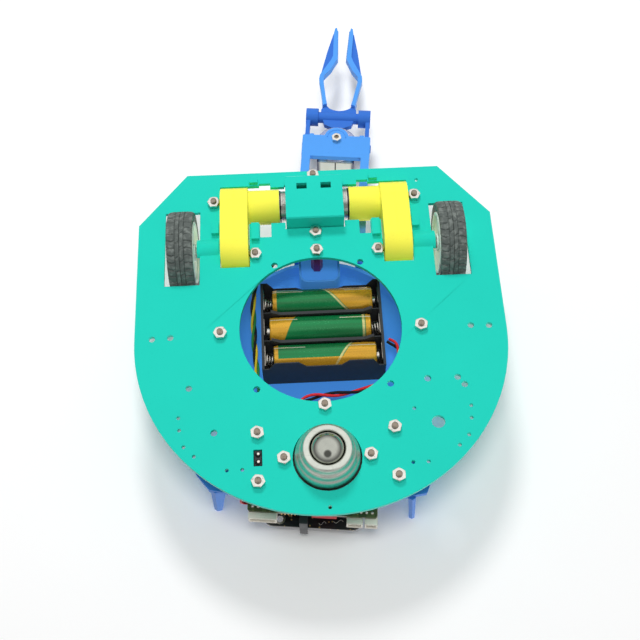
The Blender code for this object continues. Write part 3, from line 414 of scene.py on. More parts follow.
def pan_head(bm, x, y, low, high, radius, turn, finish=0, down=False):
    """A domed screw head with a cross recess in its top."""
    rings, sides, count = [], 48, 9
    for k in range(count + 1):
        share = k / count
        ring = []
        for i in range(sides if k else 1):
            angle = math.tau * i / sides + turn
            r = radius * share
            rise = (high - low) * (0.25 + 0.75 * math.sqrt(max(0.0, 1 - (share * 0.98) ** 2.4)))
            a, b = abs(r * math.cos(angle - turn)), abs(r * math.sin(angle - turn))
            if min(a, b) < 0.32 and max(a, b) < radius * 0.58:
                rise -= 0.75
            ring.append(Vector((x + r * math.cos(angle), y + r * math.sin(angle),
                                high - rise if down else low + rise)))
        rings.append(ring)
    base = high if down else low
    rings.append([Vector((p.x, p.y, base)) for p in rings[-1]])
    rings.append([Vector((x, y, base))])
    skin(bm, rings, finish)


def smooth_line(points, spacing):
    """A Catmull-Rom curve through the points, sampled about evenly."""
    points = [Vector(p) for p in points]
    ends = [2 * points[0] - points[1], *points, 2 * points[-1] - points[-2]]
    line = []
    for a, b, c, d in zip(ends, ends[1:], ends[2:], ends[3:]):
        steps = max(2, round((c - b).length / spacing))
        for i in range(steps):
            t = i / steps
            line.append(0.5 * (2 * b + (c - a) * t + (2 * a - 5 * b + 4 * c - d) * t * t
                               + (3 * b - a - 3 * c + d) * t ** 3))
    return [*line, points[-1]]


def frames_along(line):
    """A pair of steady side directions at each point of a line."""
    side = None
    for i, point in enumerate(line):
        ahead = (line[min(i + 1, len(line) - 1)] - line[max(i - 1, 0)]).normalized()
        if side is None:
            side = ahead.cross(Vector((0.31, 0.22, 0.93))).normalized()
        side = (side - side.dot(ahead) * ahead).normalized()
        yield point, side, ahead.cross(side)


def tube(bm, line, radius, sides=12, finish=0):
    rings = []
    for point, side, up in frames_along(line):
        rings.append([point + radius * (math.cos(math.tau * i / sides) * side
                                        + math.sin(math.tau * i / sides) * up)
                      for i in range(sides)])
    skin(bm, [[line[0]], *rings, [line[-1]]], finish)


def twisted(bm, points, strands, radius, spread, pitch=26.0):
    """Wires along one route that turn slowly about each other. Strands are finish numbers."""
    line = smooth_line(points, 1.6)
    for number, finish in enumerate(strands):
        path, gone = [], 0.0
        for i, (point, side, up) in enumerate(frames_along(line)):
            if i:
                gone += (line[i] - line[i - 1]).length
            angle = math.tau * (number / len(strands) + gone / pitch)
            loose = spread * (1 + 0.25 * math.sin(gone / 9 + number))
            path.append(point + loose * (math.cos(angle) * side + math.sin(angle) * up))
        tube(bm, path, radius, 10, finish)


def box(bm, low, high, finish=0, edge=0.0):
    """A block, with its edges rounded where an edge width is given."""
    made = bmesh.ops.create_cube(bm, size=1.0)
    size = [h - l for l, h in zip(low, high)]
    middle = [(h + l) / 2 for l, h in zip(low, high)]
    place = Matrix.Translation(middle) @ Matrix.Diagonal((*size, 1.0))
    bmesh.ops.transform(bm, matrix=place, verts=made["verts"])
    faces = {f for v in made["verts"] for f in v.link_faces}
    for face in faces:
        face.material_index = finish
    if edge:
        edges = list({e for v in made["verts"] for e in v.link_edges})
        bmesh.ops.bevel(bm, geom=edges, offset=edge, segments=2, affect="EDGES", profile=0.6)


def slab(bm, outline, low, high, finish=0, edge=0.1, holes=()):
    """A flat plate of an outline, with rounded edges."""
    curve = bpy.data.curves.new("slab", "CURVE")
    curve.dimensions, curve.fill_mode = "2D", "BOTH"
    curve.extrude, curve.bevel_depth, curve.bevel_resolution = (high - low) / 2 - edge, edge, 1
    curve.offset = -edge
    for ring in (outline, *holes):
        spline = curve.splines.new("POLY")
        spline.points.add(len(ring) - 1)
        for point, (x, y) in zip(spline.points, ring):
            point.co = (x, y, 0, 1)
        spline.use_cyclic_u = True
    holder = bpy.data.objects.new("slab", curve)
    mesh = holder.to_mesh()
    count = len(bm.faces)
    before = len(bm.verts)
    bm.from_mesh(mesh)
    bm.verts.ensure_lookup_table()
    bm.faces.ensure_lookup_table()
    for face in bm.faces[count:]:
        face.material_index = finish
    made = bm.verts[before:]
    bmesh.ops.translate(bm, verts=made, vec=(0, 0, (low + high) / 2))
    holder.to_mesh_clear()
    bpy.data.objects.remove(holder)
    bpy.data.curves.remove(curve)


def arc(x, y, radius, first, last, steps):
    angles = [math.radians(first + (last - first) * i / steps) for i in range(steps + 1)]
    return [(x + radius * math.cos(a), y + radius * math.sin(a)) for a in angles]


def finish_piece(name, bm, place, finishes, body, slot, *replaced, sharp=38.0):
    """Makes the piece's object from its mesh code, hangs it on its body's empty, and hides the CAD nodes
    that it replaces.
    """
    bmesh.ops.transform(bm, matrix=place, verts=bm.verts)
    bmesh.ops.remove_doubles(bm, verts=bm.verts, dist=1e-7)
    bmesh.ops.recalc_face_normals(bm, faces=bm.faces)
    for face in bm.faces:
        face.smooth = True
    for edge in bm.edges:
        edge.smooth = len(edge.link_faces) == 2 and edge.calc_face_angle(0.0) < math.radians(sharp)
    mesh = bpy.data.meshes.new(name)
    bm.to_mesh(mesh)
    bm.free()
    for finish in finishes:
        mesh.materials.append(finish)
    obj = bpy.data.objects.new(name, mesh)
    bpy.context.scene.collection.objects.link(obj)
    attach(obj, body)
    if replaced:
        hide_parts(*replaced)
    return obj


# ---------------------------------------------------------------- CAD nodes that stay


def dress_cad():
    """Gives each CAD node its slot's finish, or for a few nodes a finish of their own, softened edges and
    even shading. The tilt frame and the jaws' webs get a darker blue, which is painted shade, and the dish a
    blue with a painted glow.
    """
    slots = {part["node"]: part["material_slot"] for part in frame["record"]["subparts"]}
    edges = {"chassis_plate": 0.12, "line_sensor": 0.15, "gripper_servo": 0.3, "battery_holder": 0.1,
             "sensor_board": 0.08, "driver_board": 0.08, "controller_board": 0.1}
    for name, obj in nodes.items():
        obj.data.materials.clear()
        obj.data.materials.append(SLOT_FINISH[slots[name]])
        if name.startswith("motor_") and name != "motor_cover":
            obj.data.materials[0] = CAN
        if name == "servo_horn":
            obj.data.materials[0] = CLEAR
        if name == "base_dish":
            obj.data.materials[0] = DISH_PAINTED_GLOW
        if name == "tilt_frame":
            obj.data.materials[0] = BLUE_PAINTED_SHADE
        weld = obj.modifiers.new("weld", "WELD")
        weld.merge_threshold = 0.000008
        bevel = obj.modifiers.new("soft_edges", "BEVEL")
        bevel.width = edges.get(name, 0.28) * MM
        bevel.segments = 2
        bevel.limit_method = "ANGLE"
        bevel.angle_limit = math.radians(40)
        obj.modifiers.new("even_shading", "WEIGHTED_NORMAL").keep_sharp = True
        # The jaws' webs take the darker blue: painted shade in their recess.
        if name.startswith("jaw_"):
            obj.data.materials.append(BLUE_PAINTED_SHADE)
        for face in obj.data.polygons:
            face.use_smooth = abs(face.normal.z) < 0.9999
            if name.startswith("jaw_") and abs(face.center.z - JAW_WEB_Z * MM) < 0.00005:
                face.material_index = 1


# ---------------------------------------------------------------- fasteners


def fasteners():
    for kind, (seat, places) in SCREWS.items():
        for number, (x, y) in enumerate(places, 1):
            bm = bmesh.new()
            turn = 0.0 if kind == "gearbox_screw" else math.radians(23 * number)
            nut(bm, x, y, NUT_LOW, NUT_HIGH, NUT_FLATS, turn)
            thread(bm, x, y, SCREW_END, seat + 0.4, THREAD_RADIUS, finish=2)
            pan_head(bm, x, y, seat + 0.2, seat + 2.2, 2.8, turn + 0.4)
            if kind == "sensor_board_screw":
                lathe(bm, [(1.5, 18.3), (2.6, 18.3), (2.6, 21.7), (1.5, 21.7)], (x, y, 0), sides=28,
                      finish=1)
            name = f"{kind}_{number}"
            finish_piece(f"{name}_detail", bm, CHASSIS, [NICKEL, WHITE, STUD], "chassis", "zinc_steel",
                         name)


def standoffs():
    for number, (name, (x, y)) in enumerate(STANDOFFS.items()):
        bm = bmesh.new()
        corner = 5.0 / math.sqrt(3)
        profile = [(1.5, 18.3), (corner - 0.5, 18.3), (corner, 18.8), (corner, 30.7), (corner - 0.5, 31.2),
                   (1.5, 31.2)]
        lathe(bm, profile, (x, y, 0), sides=36, outline=lambda r, a: hexagon(r, a) if r > 2 else r)
        lathe(bm, [(corner * 0.866, 18.35), (corner * 0.84, 19.0)], (x, y, 0), sides=36)
        nut(bm, x, y, NUT_LOW, NUT_HIGH, NUT_FLATS, math.radians(17 * number + 7), finish=1)
        thread(bm, x, y, SCREW_END, 18.4, THREAD_RADIUS, finish=2)
        finish_piece(f"standoff_{name}_detail", bm, CHASSIS, [VIOLET, NICKEL, STUD], "chassis",
                     "violet_anodised",
                     f"standoff_{name}")


def dish_lip():
    """The raised lip round the dish's front pad: down its left side, round two corners and up its right. Its
    lighter blue is a painted highlight on the pad's rounded edge.
    """
    left, right, rear, front, turn = -10.7, 8.3, 33.2, 46.0, 3.9
    path = ([(left, front)] + arc(left + turn, rear + turn, turn, 180, 270, 8)
            + arc(right - turn, rear + turn, turn, -90, 0, 8) + [(right, front)])
    bm = bmesh.new()
    tube(bm, [Vector((x, y, 31.35)) for x, y in path], 0.55, 10)
    # The lip's lighter blue is painted highlight.
    finish_piece("dish_pad_lip_painted_highlight", bm, CHASSIS, [SKY], "chassis", "blue_plastic")


def small_bolts():
    bm = bmesh.new()
    nut(bm, 0, HORN_Y, 31.0, 32.8, 4.6, 0.3, bore=1.25)
    lathe(bm, [(0, 31.9), (1.27, 31.9), (1.27, 32.6)], (0, HORN_Y, 0), sides=6, finish=1)
    thread(bm, 0, HORN_Y, 32.4, 36.7, 1.45)
    finish_piece("horn_screw_detail", bm, DECK, [NICKEL, STUD], "chassis", "zinc_steel", "horn_screw")
    bm = bmesh.new()
    x = -1.05 / 2
    nut(bm, x, 0, 51.3, 52.6, 6.6, 0.2)
    thread(bm, x, 0, 45.8, 52.5, 1.6)
    finish_piece("centre_bolt_detail", bm, CHASSIS, [NICKEL], "chassis", "zinc_steel", "centre_bolt")


# ---------------------------------------------------------------- drive


def tread_depth(angle, across):
    """How deep the tread is cut at an angle round the tyre, and a place across it from -1 to 1."""
    deep = 0.0
    for groove in (-0.36, 0.0, 0.36):
        deep = max(deep, 1 - abs(across - groove) / 0.036)
    pitch = math.tau / 36
    curve = 0.55 * pitch * math.sin(across * 2.6)
    lateral = ((angle + curve) / pitch) % 1.0
    near = min(lateral, 1 - lateral) * pitch * TYRE_RADIUS
    if abs(across) > 0.36:
        deep = max(deep, 1 - near / 0.32)
    else:
        half = ((angle + curve) / pitch + 0.5) % 1.0
        near = min(half, 1 - half) * pitch * TYRE_RADIUS
        if across * (1 if int((angle / pitch)) % 2 else -1) > 0.04:
            deep = max(deep, 0.8 * (1 - near / 0.26))
    return max(0.0, min(1.0, deep * 1.6))


def tyre(name, side):
    """The tyre with its three rim grooves and curved cross cuts."""
    half = (TYRE_OUT - TYRE_IN) / 2
    middle = side * (TYRE_IN + half)
    turns, steps = 420, 46
    rings = []
    for i in range(turns):
        angle = math.tau * i / turns
        ring = []
        for k in range(steps + 1):
            across = -1 + 2 * k / steps
            crown = TYRE_RADIUS - 0.55 * abs(across) ** 4.5 - 0.35 * max(0.0, abs(across) - 0.9) * 10
            radius = crown - 0.5 * tread_depth(angle, across) * (1 if abs(across) < 0.97 else 0)
            ring.append((across * half * 0.995, radius))
        for across, radius in ((half, TYRE_RADIUS - 1.8), (half - 0.25, 17.2),
                               (half - 0.3, TYRE_BORE + 0.5),
                               (half - 0.5, TYRE_BORE), (0.5 - half, TYRE_BORE),
                               (0.3 - half, TYRE_BORE + 0.5),
                               (0.25 - half, 17.2), (-half, TYRE_RADIUS - 1.8)):
            ring.append((across, radius))
        rings.append([Vector((middle + across, AXLE_Y + radius * math.cos(angle),
                              AXLE_Z + radius * math.sin(angle)))
                      for across, radius in ring])
    bm = bmesh.new()
    skin(bm, rings, loop=True)
    finish_piece(f"tyre_{name}_tread", bm, CHASSIS, [TYRE], f"wheel_{name}", "tyre_rubber", f"tyre_{name}",
                 sharp=50)


def hub(name, side):
    """The plated cap on the axle's outer end."""
    bm = bmesh.new()
    x = side * (TYRE_OUT - 1.9)
    lathe(bm, [(0, side * 1.0), (1.5, side * 1.0), (2.3, side * 0.6), (2.4, 0.0), (0, 0.0)],
          (x, AXLE_Y, AXLE_Z), "X", 28)
    finish_piece(f"hub_cap_{name}", bm, CHASSIS, [NICKEL], f"wheel_{name}", "zinc_steel")


def motor_ends(name, side):
    """The motor's end band, dark gap ring and two terminals, between the sleeve and the cover."""
    bm = bmesh.new()
    centre = (0, MOTOR_Y, AXLE_Z)
    lathe(bm, [(7.62, side * 16.4), (7.95, side * 16.4), (7.95, side * 17.0), (7.62, side * 17.0)], centre,
          "X", 48, 1)
    for x in (15.4, 14.6):
        lathe(bm, [(7.6, side * x), (7.78, side * (x + 0.1)), (7.78, side * (x + 0.3)),
                   (7.6, side * (x + 0.4))],
              centre, "X", 48)
    for y in (-3.6, 3.6):
        box(bm, (min(0.3 * side, 1.6 * side), MOTOR_Y + y - 0.9, AXLE_Z - 0.2),
            (max(0.3 * side, 1.6 * side), MOTOR_Y + y + 0.9, AXLE_Z + 0.2), 2, 0.06)
    finish_piece(f"motor_{name}_trim", bm, CHASSIS, [CAN, DARK, BRASS], "chassis", "zinc_steel")


def gearbox_trim(name, side):
    """The seam round the gear case, and the ring where the sleeve meets it."""
    bm = bmesh.new()
    outline = arc(AXLE_Y, AXLE_Z, 11.33, 90, 270, 22) + arc(CASE_FRONT_Y, AXLE_Z, 11.33, -90, 90, 22)
    rings = []
    for y, z in outline:
        away = Vector((0, y - min(max(y, AXLE_Y), CASE_FRONT_Y), z - AXLE_Z)).normalized() * 0.07
        rings.append([Vector((side * x, y, z)) + away * d for x,
                      d in ((39.2, -1.5), (39.2, 0.4), (39.5, 0.4), (39.5, -1.5))])
    skin(bm, rings, loop=True)
    lathe(bm, [(8.5, side * 32.7), (9.1, side * 32.7), (8.65, side * 32.0), (8.5, side * 31.9)],
          (0, MOTOR_Y, AXLE_Z), "X", 48)
    finish_piece(f"gearbox_{name}_seam", bm, CHASSIS, [YELLOW], "chassis", "yellow_plastic")


# ---------------------------------------------------------------- ball caster


def rounded_profile(points, passes=2):
    """The profile with its corners cut again and again, which rounds them."""
    for _ in range(passes):
        cut = [points[0]]
        for (r0, z0), (r1, z1) in zip(points, points[1:]):
            cut += [(0.78 * r0 + 0.22 * r1, 0.78 * z0 + 0.22 * z1),
                    (0.22 * r0 + 0.78 * r1, 0.22 * z0 + 0.78 * z1)]
        points = [*cut, points[-1]]
    return points


def caster():
    outer = [(14.3, 19.8), (14.3, 13.4), (13.9, 11.6), (13.0, 10.6), (12.75, 9.2), (12.35, 8.0),
             (11.5, 7.3),
             (11.1, 6.2), (10.9, 5.0), (10.3, 4.25), (9.2, 4.05), (8.2, 4.05), (7.62, 4.5), (7.75, 5.4),
             (8.5, 6.6)]
    bm = bmesh.new()
    inner = [(8.5, 17.4), (0.0, 17.4)]
    lathe(bm, [(0.0, 19.9), (13.4, 19.9), *rounded_profile(outer), *inner], (0, CASTER_Y, 0), sides=112)
    reach, ring = 18.9, 17.2
    ears = (arc(reach, CASTER_Y, 4.0, -62, 62, 12) + arc(0.0, CASTER_Y, ring, 40, 140, 22)
            + arc(-reach, CASTER_Y, 4.0, 118, 242, 12) + arc(0.0, CASTER_Y, ring, 220, 320, 22))
    # The flange takes the dark grey of painted shade.
    slab(bm, ears, 18.3, 19.5, 1, edge=0.2)
    finish_piece("caster_housing_detail", bm, CHASSIS, [CUP, FLANGE_PAINTED_SHADE], "chassis", "zinc_steel",
                 "caster_housing", sharp=48)
    bm = bmesh.new()
    bmesh.ops.create_uvsphere(bm, u_segments=96, v_segments=48, radius=7.94)
    bmesh.ops.translate(bm, verts=bm.verts, vec=(0, CASTER_Y, 7.94))
    finish_piece("caster_ball_detail", bm, CHASSIS, [MIRROR], "caster_roller", "polished_steel",
                 "caster_ball", sharp=80)


# ---------------------------------------------------------------- cells and their holder


def cells():
    """Each cell has a crimped foil tube, a dark washer at both ends, and a plated nub."""
    designs = {
        "front": ((-0.455, 0.0), (0.11, -0.147), -9.0, 0.02),
        "middle": ((-0.27, 0.057), (0.446, 0.0), -9.0, 0.0),
        "rear": ((-0.455, 0.0), (0.18, 0.069), -0.35, 0.015),
    }
    for number, (name, (left, right, low, wave)) in enumerate(designs.items()):
        nub = 1 if name == "middle" else -1
        x, y = CELL_X + nub * CELL_SHIFT, CELL_Y + (1 - number) * CELL_PITCH
        half, r = CELL_HALF, CELL_RADIUS
        profile = [(5.0, 0.55 - half), (r - 0.75, 0.3 - half), (r - 0.35, 0.22 - half),
                   (r - 0.05, 0.6 - half),
                   (r - 0.16, 1.1 - half), (r, 1.6 - half), (r, half - 3.0), (r - 0.16, half - 2.6),
                   (r - 0.05, half - 2.2), (r - 0.5, half - 1.75), (r - 0.9, half - 1.8), (5.0, half - 2.0)]
        bm = bmesh.new()
        lathe(bm, [(p, nub * h) for p, h in profile], (x, y, CELL_Z), "X", 72)
        lathe(bm, [(6.4, nub * (half - 1.9)), (5.2, nub * (half - 1.75)), (2.7, nub * (half - 1.75))],
              (x, y, CELL_Z), "X", 48, 1)
        lathe(bm, [(2.75, nub * (half - 1.8)), (2.75, nub * (half - 0.4)), (2.4, nub * (half - 0.05)),
                   (0, nub * half)],
              (x, y, CELL_Z), "X", 32, 2)
        lathe(bm, [(5.6, nub * (0.5 - half)), (5.0, nub * (0.1 - half)), (0, nub * (0.04 - half))],
              (x, y, CELL_Z), "X", 40, 2)
        foil_finish = foil(f"cell_foil_{name}", x, CHASSIS.translation.y + y * MM, wave, left, right, low)
        finish_piece(f"cell_{name}_detail", bm, CHASSIS, [foil_finish, DARK, NICKEL], "chassis",
                     "cell_foil",
                     f"cell_{name}")


def contacts():
    """A coil spring at each cell's flat end and a bent tab at its nub."""
    bm = bmesh.new()
    for number in range(3):
        nub = 1 if number == 1 else -1
        y = CELL_Y + (1 - number) * CELL_PITCH
        wall = CELL_X - nub * (HOLDER_HALF - 1.5)
        cell_end = CELL_X + nub * CELL_SHIFT - nub * (CELL_HALF + 0.1)
        turns, points = 3.2, []
        for i in range(65):
            share = i / 64
            angle = math.tau * turns * share
            radius = 4.1 - 1.9 * share
            points.append(Vector((wall + (cell_end - wall) * share, y + radius * math.cos(angle),
                                  CELL_Z + radius * math.sin(angle))))
        tube(bm, points, 0.36, 8)
        start, end = sorted((wall - nub * 0.12, wall + nub * 0.16))
        box(bm, (start, y - 5.2, CELL_Z - 5.6), (end, y + 5.2, CELL_Z + 5.2), 0, 0.06)
        face = CELL_X + nub * (HOLDER_HALF - 1.55)
        start, end = sorted((face, face + nub * 0.2))
        box(bm, (start, y - 4.2, CELL_Z - 6.2), (end, y + 4.2, CELL_Z + 5.0), 0, 0.06)
    finish_piece("battery_contacts", bm, CHASSIS, [NICKEL], "chassis", "zinc_steel")


# ---------------------------------------------------------------- boards and their parts


def chip(bm, x, y, z, length, width, height, pins, up=1):
    """A packaged chip with legs on its two long sides."""
    low, high = sorted((z + up * 0.25, z + up * (0.25 + height)))
    box(bm, (x - length / 2, y - width / 2, low), (x + length / 2, y + width / 2, high), 0, 0.15)
    foot_low, foot_high = sorted((z, z + up * 0.45))
    for i in range(pins):
        px = x - length / 2 + length * (i + 0.5) / pins
        for side in (-1, 1):
            edge = y + side * (width / 2 + 0.35)
            box(bm, (px - 0.18, edge - 0.4, foot_low), (px + 0.18, edge + 0.4, foot_high), 1)


def solder(bm, x, y, z, radius=0.75, up=-1, finish=1):
    lathe(bm, [(radius, z), (radius * 0.85, z + up * 0.25), (radius * 0.4, z + up * 0.6),
               (0, z + up * 0.75)],
          (x, y, 0), sides=14, finish=finish)


def driver_parts():
    """Solder joints below the driver board, and its chips, capacitors and coil above it."""
    bm = bmesh.new()
    low, high = DRIVER_LOW, DRIVER_HIGH
    for side in (-1, 1):
        for i in range(6):
            solder(bm, side * (14.2 + 2.5 * i), -80.6, low)
        for i in range(4):
            solder(bm, side * (16 + 3.1 * i), -76.4, low, 0.6)
    for i in range(9):
        solder(bm, -11 + 2.54 * i, -57.0, low, 0.6)
    chip(bm, 0, -66, high, 12, 7.5, 2.0, 8)
    chip(bm, -12, -72, high, 5, 4, 1.4, 4)
    for x, y in ((12, -66), (16, -72)):
        lathe(bm, [(2.5, high), (2.5, high + 4.2), (2.2, high + 4.6), (0, high + 4.6)], (x, y, 0),
              sides=28, finish=2)
    for x in (-24, -20.5, 21.5, 25):
        box(bm, (x - 1.0, -72.6, high), (x + 1.0, -71.2, high + 0.8), 3, 0.1)
    finish_piece("driver_board_parts", bm, DECK, [DARK, NICKEL, NAVY, TAN], "chassis", "circuit_board")


def rear_edge_parts():
    """What shows between the two boards at the rear: a red block and header pins."""
    bm = bmesh.new()
    high = DRIVER_HIGH
    box(bm, (-11.0, -82.4, high), (0.4, -77.5, high + 5.2), 0, 0.5)
    for i in range(4):
        lathe(bm, [(0.9, -82.7), (0.9, -82.45), (0, -82.45)], (-9.2 + 2.8 * i, 0, high + 2.6), "Y", 16, 1)
    for i in range(5):
        box(bm, (7.4 + 1.5 * i, -82.2, high), (8.1 + 1.5 * i, -81.5, high + 3.4), 2, 0.05)
    finish_piece("terminal_block", bm, DECK, [RED, DARK, BRASS], "chassis", "circuit_board")


def controller_parts():
    """The controller board's ring pad and drawn lines below, and its chip, sockets and crystal above."""
    bm = bmesh.new()
    low, high = CONTROLLER_LOW, CONTROLLER_HIGH
    lathe(bm, [(1.6, low), (2.5, low), (2.5, low - 0.06), (1.6, low - 0.06)], (15.0, -81.1, 0), sides=36,
          finish=1)
    for x, y, reach in ((-14.0, -80.8, 4.5), (-6.2, -82.0, 3.3)):
        line = [Vector((x + reach * t / 24, y + 0.8 * math.sin(math.tau * t / 24),
                        low - 0.03)) for t in range(25)]
        tube(bm, line, 0.09, 6, 3)
    for i in range(14):
        solder(bm, -16.5 + 2.54 * i, -77.2, low, 0.6)
    chip(bm, 0, -58, high, 20, 7.5, 2.4, 14)
    for side in (-1, 1):
        box(bm, (side * 18.2 - 1.25, -78, high), (side * 18.2 + 1.25, -44, high + 5.4), 0, 0.15)
        for i in range(13):
            box(bm, (side * 18.2 - 0.4, -76.6 + 2.54 * i, high + 5.3),
                (side * 18.2 + 0.4, -75.8 + 2.54 * i, high + 5.45), 1)
    box(bm, (-6.0, -42.5, high), (6.0, -33.4, high + 4.2), 1, 0.4)
    box(bm, (7.5, -70.5, high), (12.5, -67.5, high + 1.8), 1, 0.5)
    finish_piece("controller_board_parts", bm, DECK, [DARK, NICKEL, BRASS, WHITE], "chassis", "black_board")


def connector_pins():
    """The pins inside each white socket, and the small feet under its shell."""
    bm = bmesh.new()
    base = 39.9
    for start, end in ((-29.3, -23.6), (-22.7, -15.5), (15.8, 28.5)):
        count = max(2, round((end - start - 1.6) / 2.0))
        for i in range(count):
            x = start + 0.8 + (end - start - 1.6) * (i + 0.5) / count
            box(bm, (x - 0.25, -84.9, base + 2.4), (x + 0.25, -81.3, base + 2.9), 0, 0.04)
            box(bm, (x - 0.45, -85.75, base + 0.25), (x + 0.45, -85.55, base + 0.85), 1, 0.04)
    finish_piece("socket_pins", bm, DECK, [NICKEL, WHITE], "chassis", "zinc_steel")


def sensor_parts():
    """The two dark lenses of the floor sensor in its window, each with a small white disc off its centre
    that is a painted glint, and small parts on its board.
    """
    bm = bmesh.new()
    for y in (-61.3, -64.9):
        lathe(bm, [(1.25, 16.65), (1.25, 16.45), (1.05, 16.2), (0.6, 16.05), (0, 16.0)], (30.2, y, 0),
              sides=28, finish=1)
        # Painted glint: a small white disc off the lens's centre.
        lathe(bm, [(0.6, 16.02), (0.5, 15.96), (0, 15.94)], (30.0, y + 0.3, 0), sides=16, finish=4)
    for x in (-28, -24, 24, 28):
        solder(bm, x, -48.9, 22.0, 0.6, finish=2)
    for x in (-29.6, 29.6):
        box(bm, (x - 1.4, -58.0, 21.2), (x + 1.4, -56.2, 22.0), 3, 0.1)
    finish_piece("sensor_lenses_painted_glints", bm, CHASSIS, [CLEAR, DARK, NICKEL, TAN, WHITE], "chassis",
                 "black_plastic")


# ---------------------------------------------------------------- gripper


def servo_parts():
    """The sticker that folds from the servo's rear to under its case, its one line, and the tab screws."""
    bm = bmesh.new()
    face = SERVO_FACE_Y
    outline = []
    for x in [-9.4 + 18.8 * i / 16 for i in range(17)]:
        outline.append((x, face - 0.14 + 0.5 * max(0.0, abs(x) - 8.6) ** 2))
    skin(bm, [[Vector((x, y, 40.3)) for x, y in outline] + [Vector((x, y + 0.1, 40.3)) for x,
                                                            y in reversed(outline)],
              [Vector((x, y, 62.6)) for x, y in outline] + [Vector((x, y + 0.1, 62.6)) for x,
                                                            y in reversed(outline)]])
    box(bm, (-9.2, face - 0.14, 39.8), (9.2, face + 5.0, 39.98), 0, 0.05)
    box(bm, (-0.28, face - 0.2, 40.3), (0.28, face - 0.1, 49.4), 1)
    finish_piece("servo_sticker", bm, DECK, [LABEL_PAINTED_SHADE, DARK], "chassis", "navy_plastic")
    bm = bmesh.new()
    for side in (-1, 1):
        pan_head(bm, side * 12.4, 122.4, 48.6, 49.7, 1.5, 1.1)
    lathe(bm, [(0, 39.05), (2.3, 39.05), (2.3, 39.9), (3.2, 40.0)], (0, HORN_Y, 0), sides=28, finish=1)
    finish_piece("servo_screws", bm, DECK, [NICKEL, NAVY], "chassis", "zinc_steel")


def horn_ring():
    """The horn's raised hub and its ring of small holes, and the raised arc round the bracket's tab."""
    bm = bmesh.new()
    lathe(bm, [(3.0, 37.0), (4.4, 37.0), (4.2, 36.8), (3.2, 36.8)], (0, HORN_Y, 0), sides=40)
    for i in range(12):
        angle = math.tau * i / 12
        lathe(bm, [(0.75, 36.99), (0.75, 36.9), (0.45, 36.9), (0.45, 36.99)],
              (8.4 * math.cos(angle), HORN_Y + 8.4 * math.sin(angle), 0), sides=14)
    finish_piece("servo_horn_detail", bm, DECK, [CLEAR], "horn", "white_plastic")
    bm = bmesh.new()
    tube(bm, [Vector((4.9 * math.cos(a), 122.9 + 4.9 * math.sin(a), 33.0))
              for a in (math.radians(6 * i) for i in range(31))], 0.35, 8)
    finish_piece("bracket_ring", bm, DECK, [SKY], "chassis", "blue_plastic")


# ---------------------------------------------------------------- wires


def wires():
    red, black, green, yellow, brown = range(5)
    finishes = [WIRES[k] for k in ("red", "black", "green", "yellow", "brown")]
    bundles = {
        "motor_cable": (CHASSIS, (green, yellow, black), 0.62, 0.75,
                        [(12, 62, 30.5), (16, 50, 31), (22, 43, 30), (28.6, 36.5, 29.5), (31.4, 26, 31),
                         (31.8, 12, 33.5), (31.6, -2, 36), (30.5, -16, 36.5), (28, -32, 34.5),
                         (24, -48, 34),
                         (19, -58, 36.0)]),
        "battery_cable": (CHASSIS, (red, black), 0.7, 0.78,
                          [(-32.4, 0.5, 34), (-36, -3.5, 32.5), (-37, -11, 31), (-32, -19, 31.5),
                           (-22, -24, 33.5),
                           (-10, -26, 34.5), (4, -27, 34), (11, -32, 30.5), (13, -42, 29), (12, -52, 31),
                           (9, -59, 34), (8, -62, 36.2)]),
        "sensor_cable": (CHASSIS, (black, red), 0.62, 0.66,
                         [(31, -70, 25.4), (35, -71, 27), (38, -72.5, 31), (38.8, -73.5, 36),
                          (38.9, -74, 39.8),
                          (36.4, -74.3, 42.4), (31.5, -74.5, 43.2)]),
        "servo_cable": (DECK, (brown, red, yellow), 0.55, 0.66,
                        [(4, 110.6, 58), (5, 104, 57), (6, 90, 54.5), (6.5, 70, 53.4), (7, 50, 53.2),
                         (7.4, 20, 53.0),
                         (7.6, -8, 53.0), (7.6, -31, 53.4)]),
    }
    for name, (place, strands, radius, spread, points) in bundles.items():
        bm = bmesh.new()
        twisted(bm, points, strands, radius, spread)
        finish_piece(f"{name}_wires", bm, place, finishes, "chassis", "wire_insulation", name)


# ---------------------------------------------------------------- stage, lights and camera


def surface_plane(name, height, flip, glow):
    """A wide white surface with a weak glow, seen from one side only and left out of all bounced light."""
    tree = Tree(name)
    tone = tree.mix(tree.noise(9, 3), (0.90, 0.90, 0.90, 1.0), (0.94, 0.94, 0.94, 1.0))
    white = tree.add("AddShader")
    tree.give(white.inputs[0], tree.add("BsdfDiffuse", Color=tone).outputs[0])
    tree.give(white.inputs[1], tree.add("Emission", Color=tone, Strength=glow).outputs[0])
    mix = tree.add("MixShader")
    tree.give(mix.inputs[0], tree.add("NewGeometry").outputs["Backfacing"])
    tree.give(mix.inputs[1], white.outputs[0])
    tree.give(mix.inputs[2], tree.add("BsdfTransparent").outputs[0])
    tree.give(tree.output.inputs["Surface"], mix.outputs[0])
    bm = bmesh.new()
    bmesh.ops.create_grid(bm, x_segments=1, y_segments=1, size=6.0)
    if flip:
        bmesh.ops.reverse_faces(bm, faces=bm.faces)
    mesh = bpy.data.meshes.new(name)
    bm.to_mesh(mesh)
    bm.free()
    mesh.materials.append(tree.material)
    obj = bpy.data.objects.new(name, mesh)
    obj.location.z = height
    bpy.context.scene.collection.objects.link(obj)
    obj.visible_shadow = obj.visible_diffuse = obj.visible_glossy = obj.visible_transmission = False


def lamp(name, location, target, size, power):
    data = bpy.data.lights.new(name, "AREA")
    data.shape, data.size, data.energy = "DISK", size, power
    obj = bpy.data.objects.new(name, data)
    obj.location = location
    obj.rotation_euler = (Vector(target) - Vector(location)).to_track_quat("-Z", "Y").to_euler()
    obj.visible_glossy = False
    bpy.context.scene.collection.objects.link(obj)


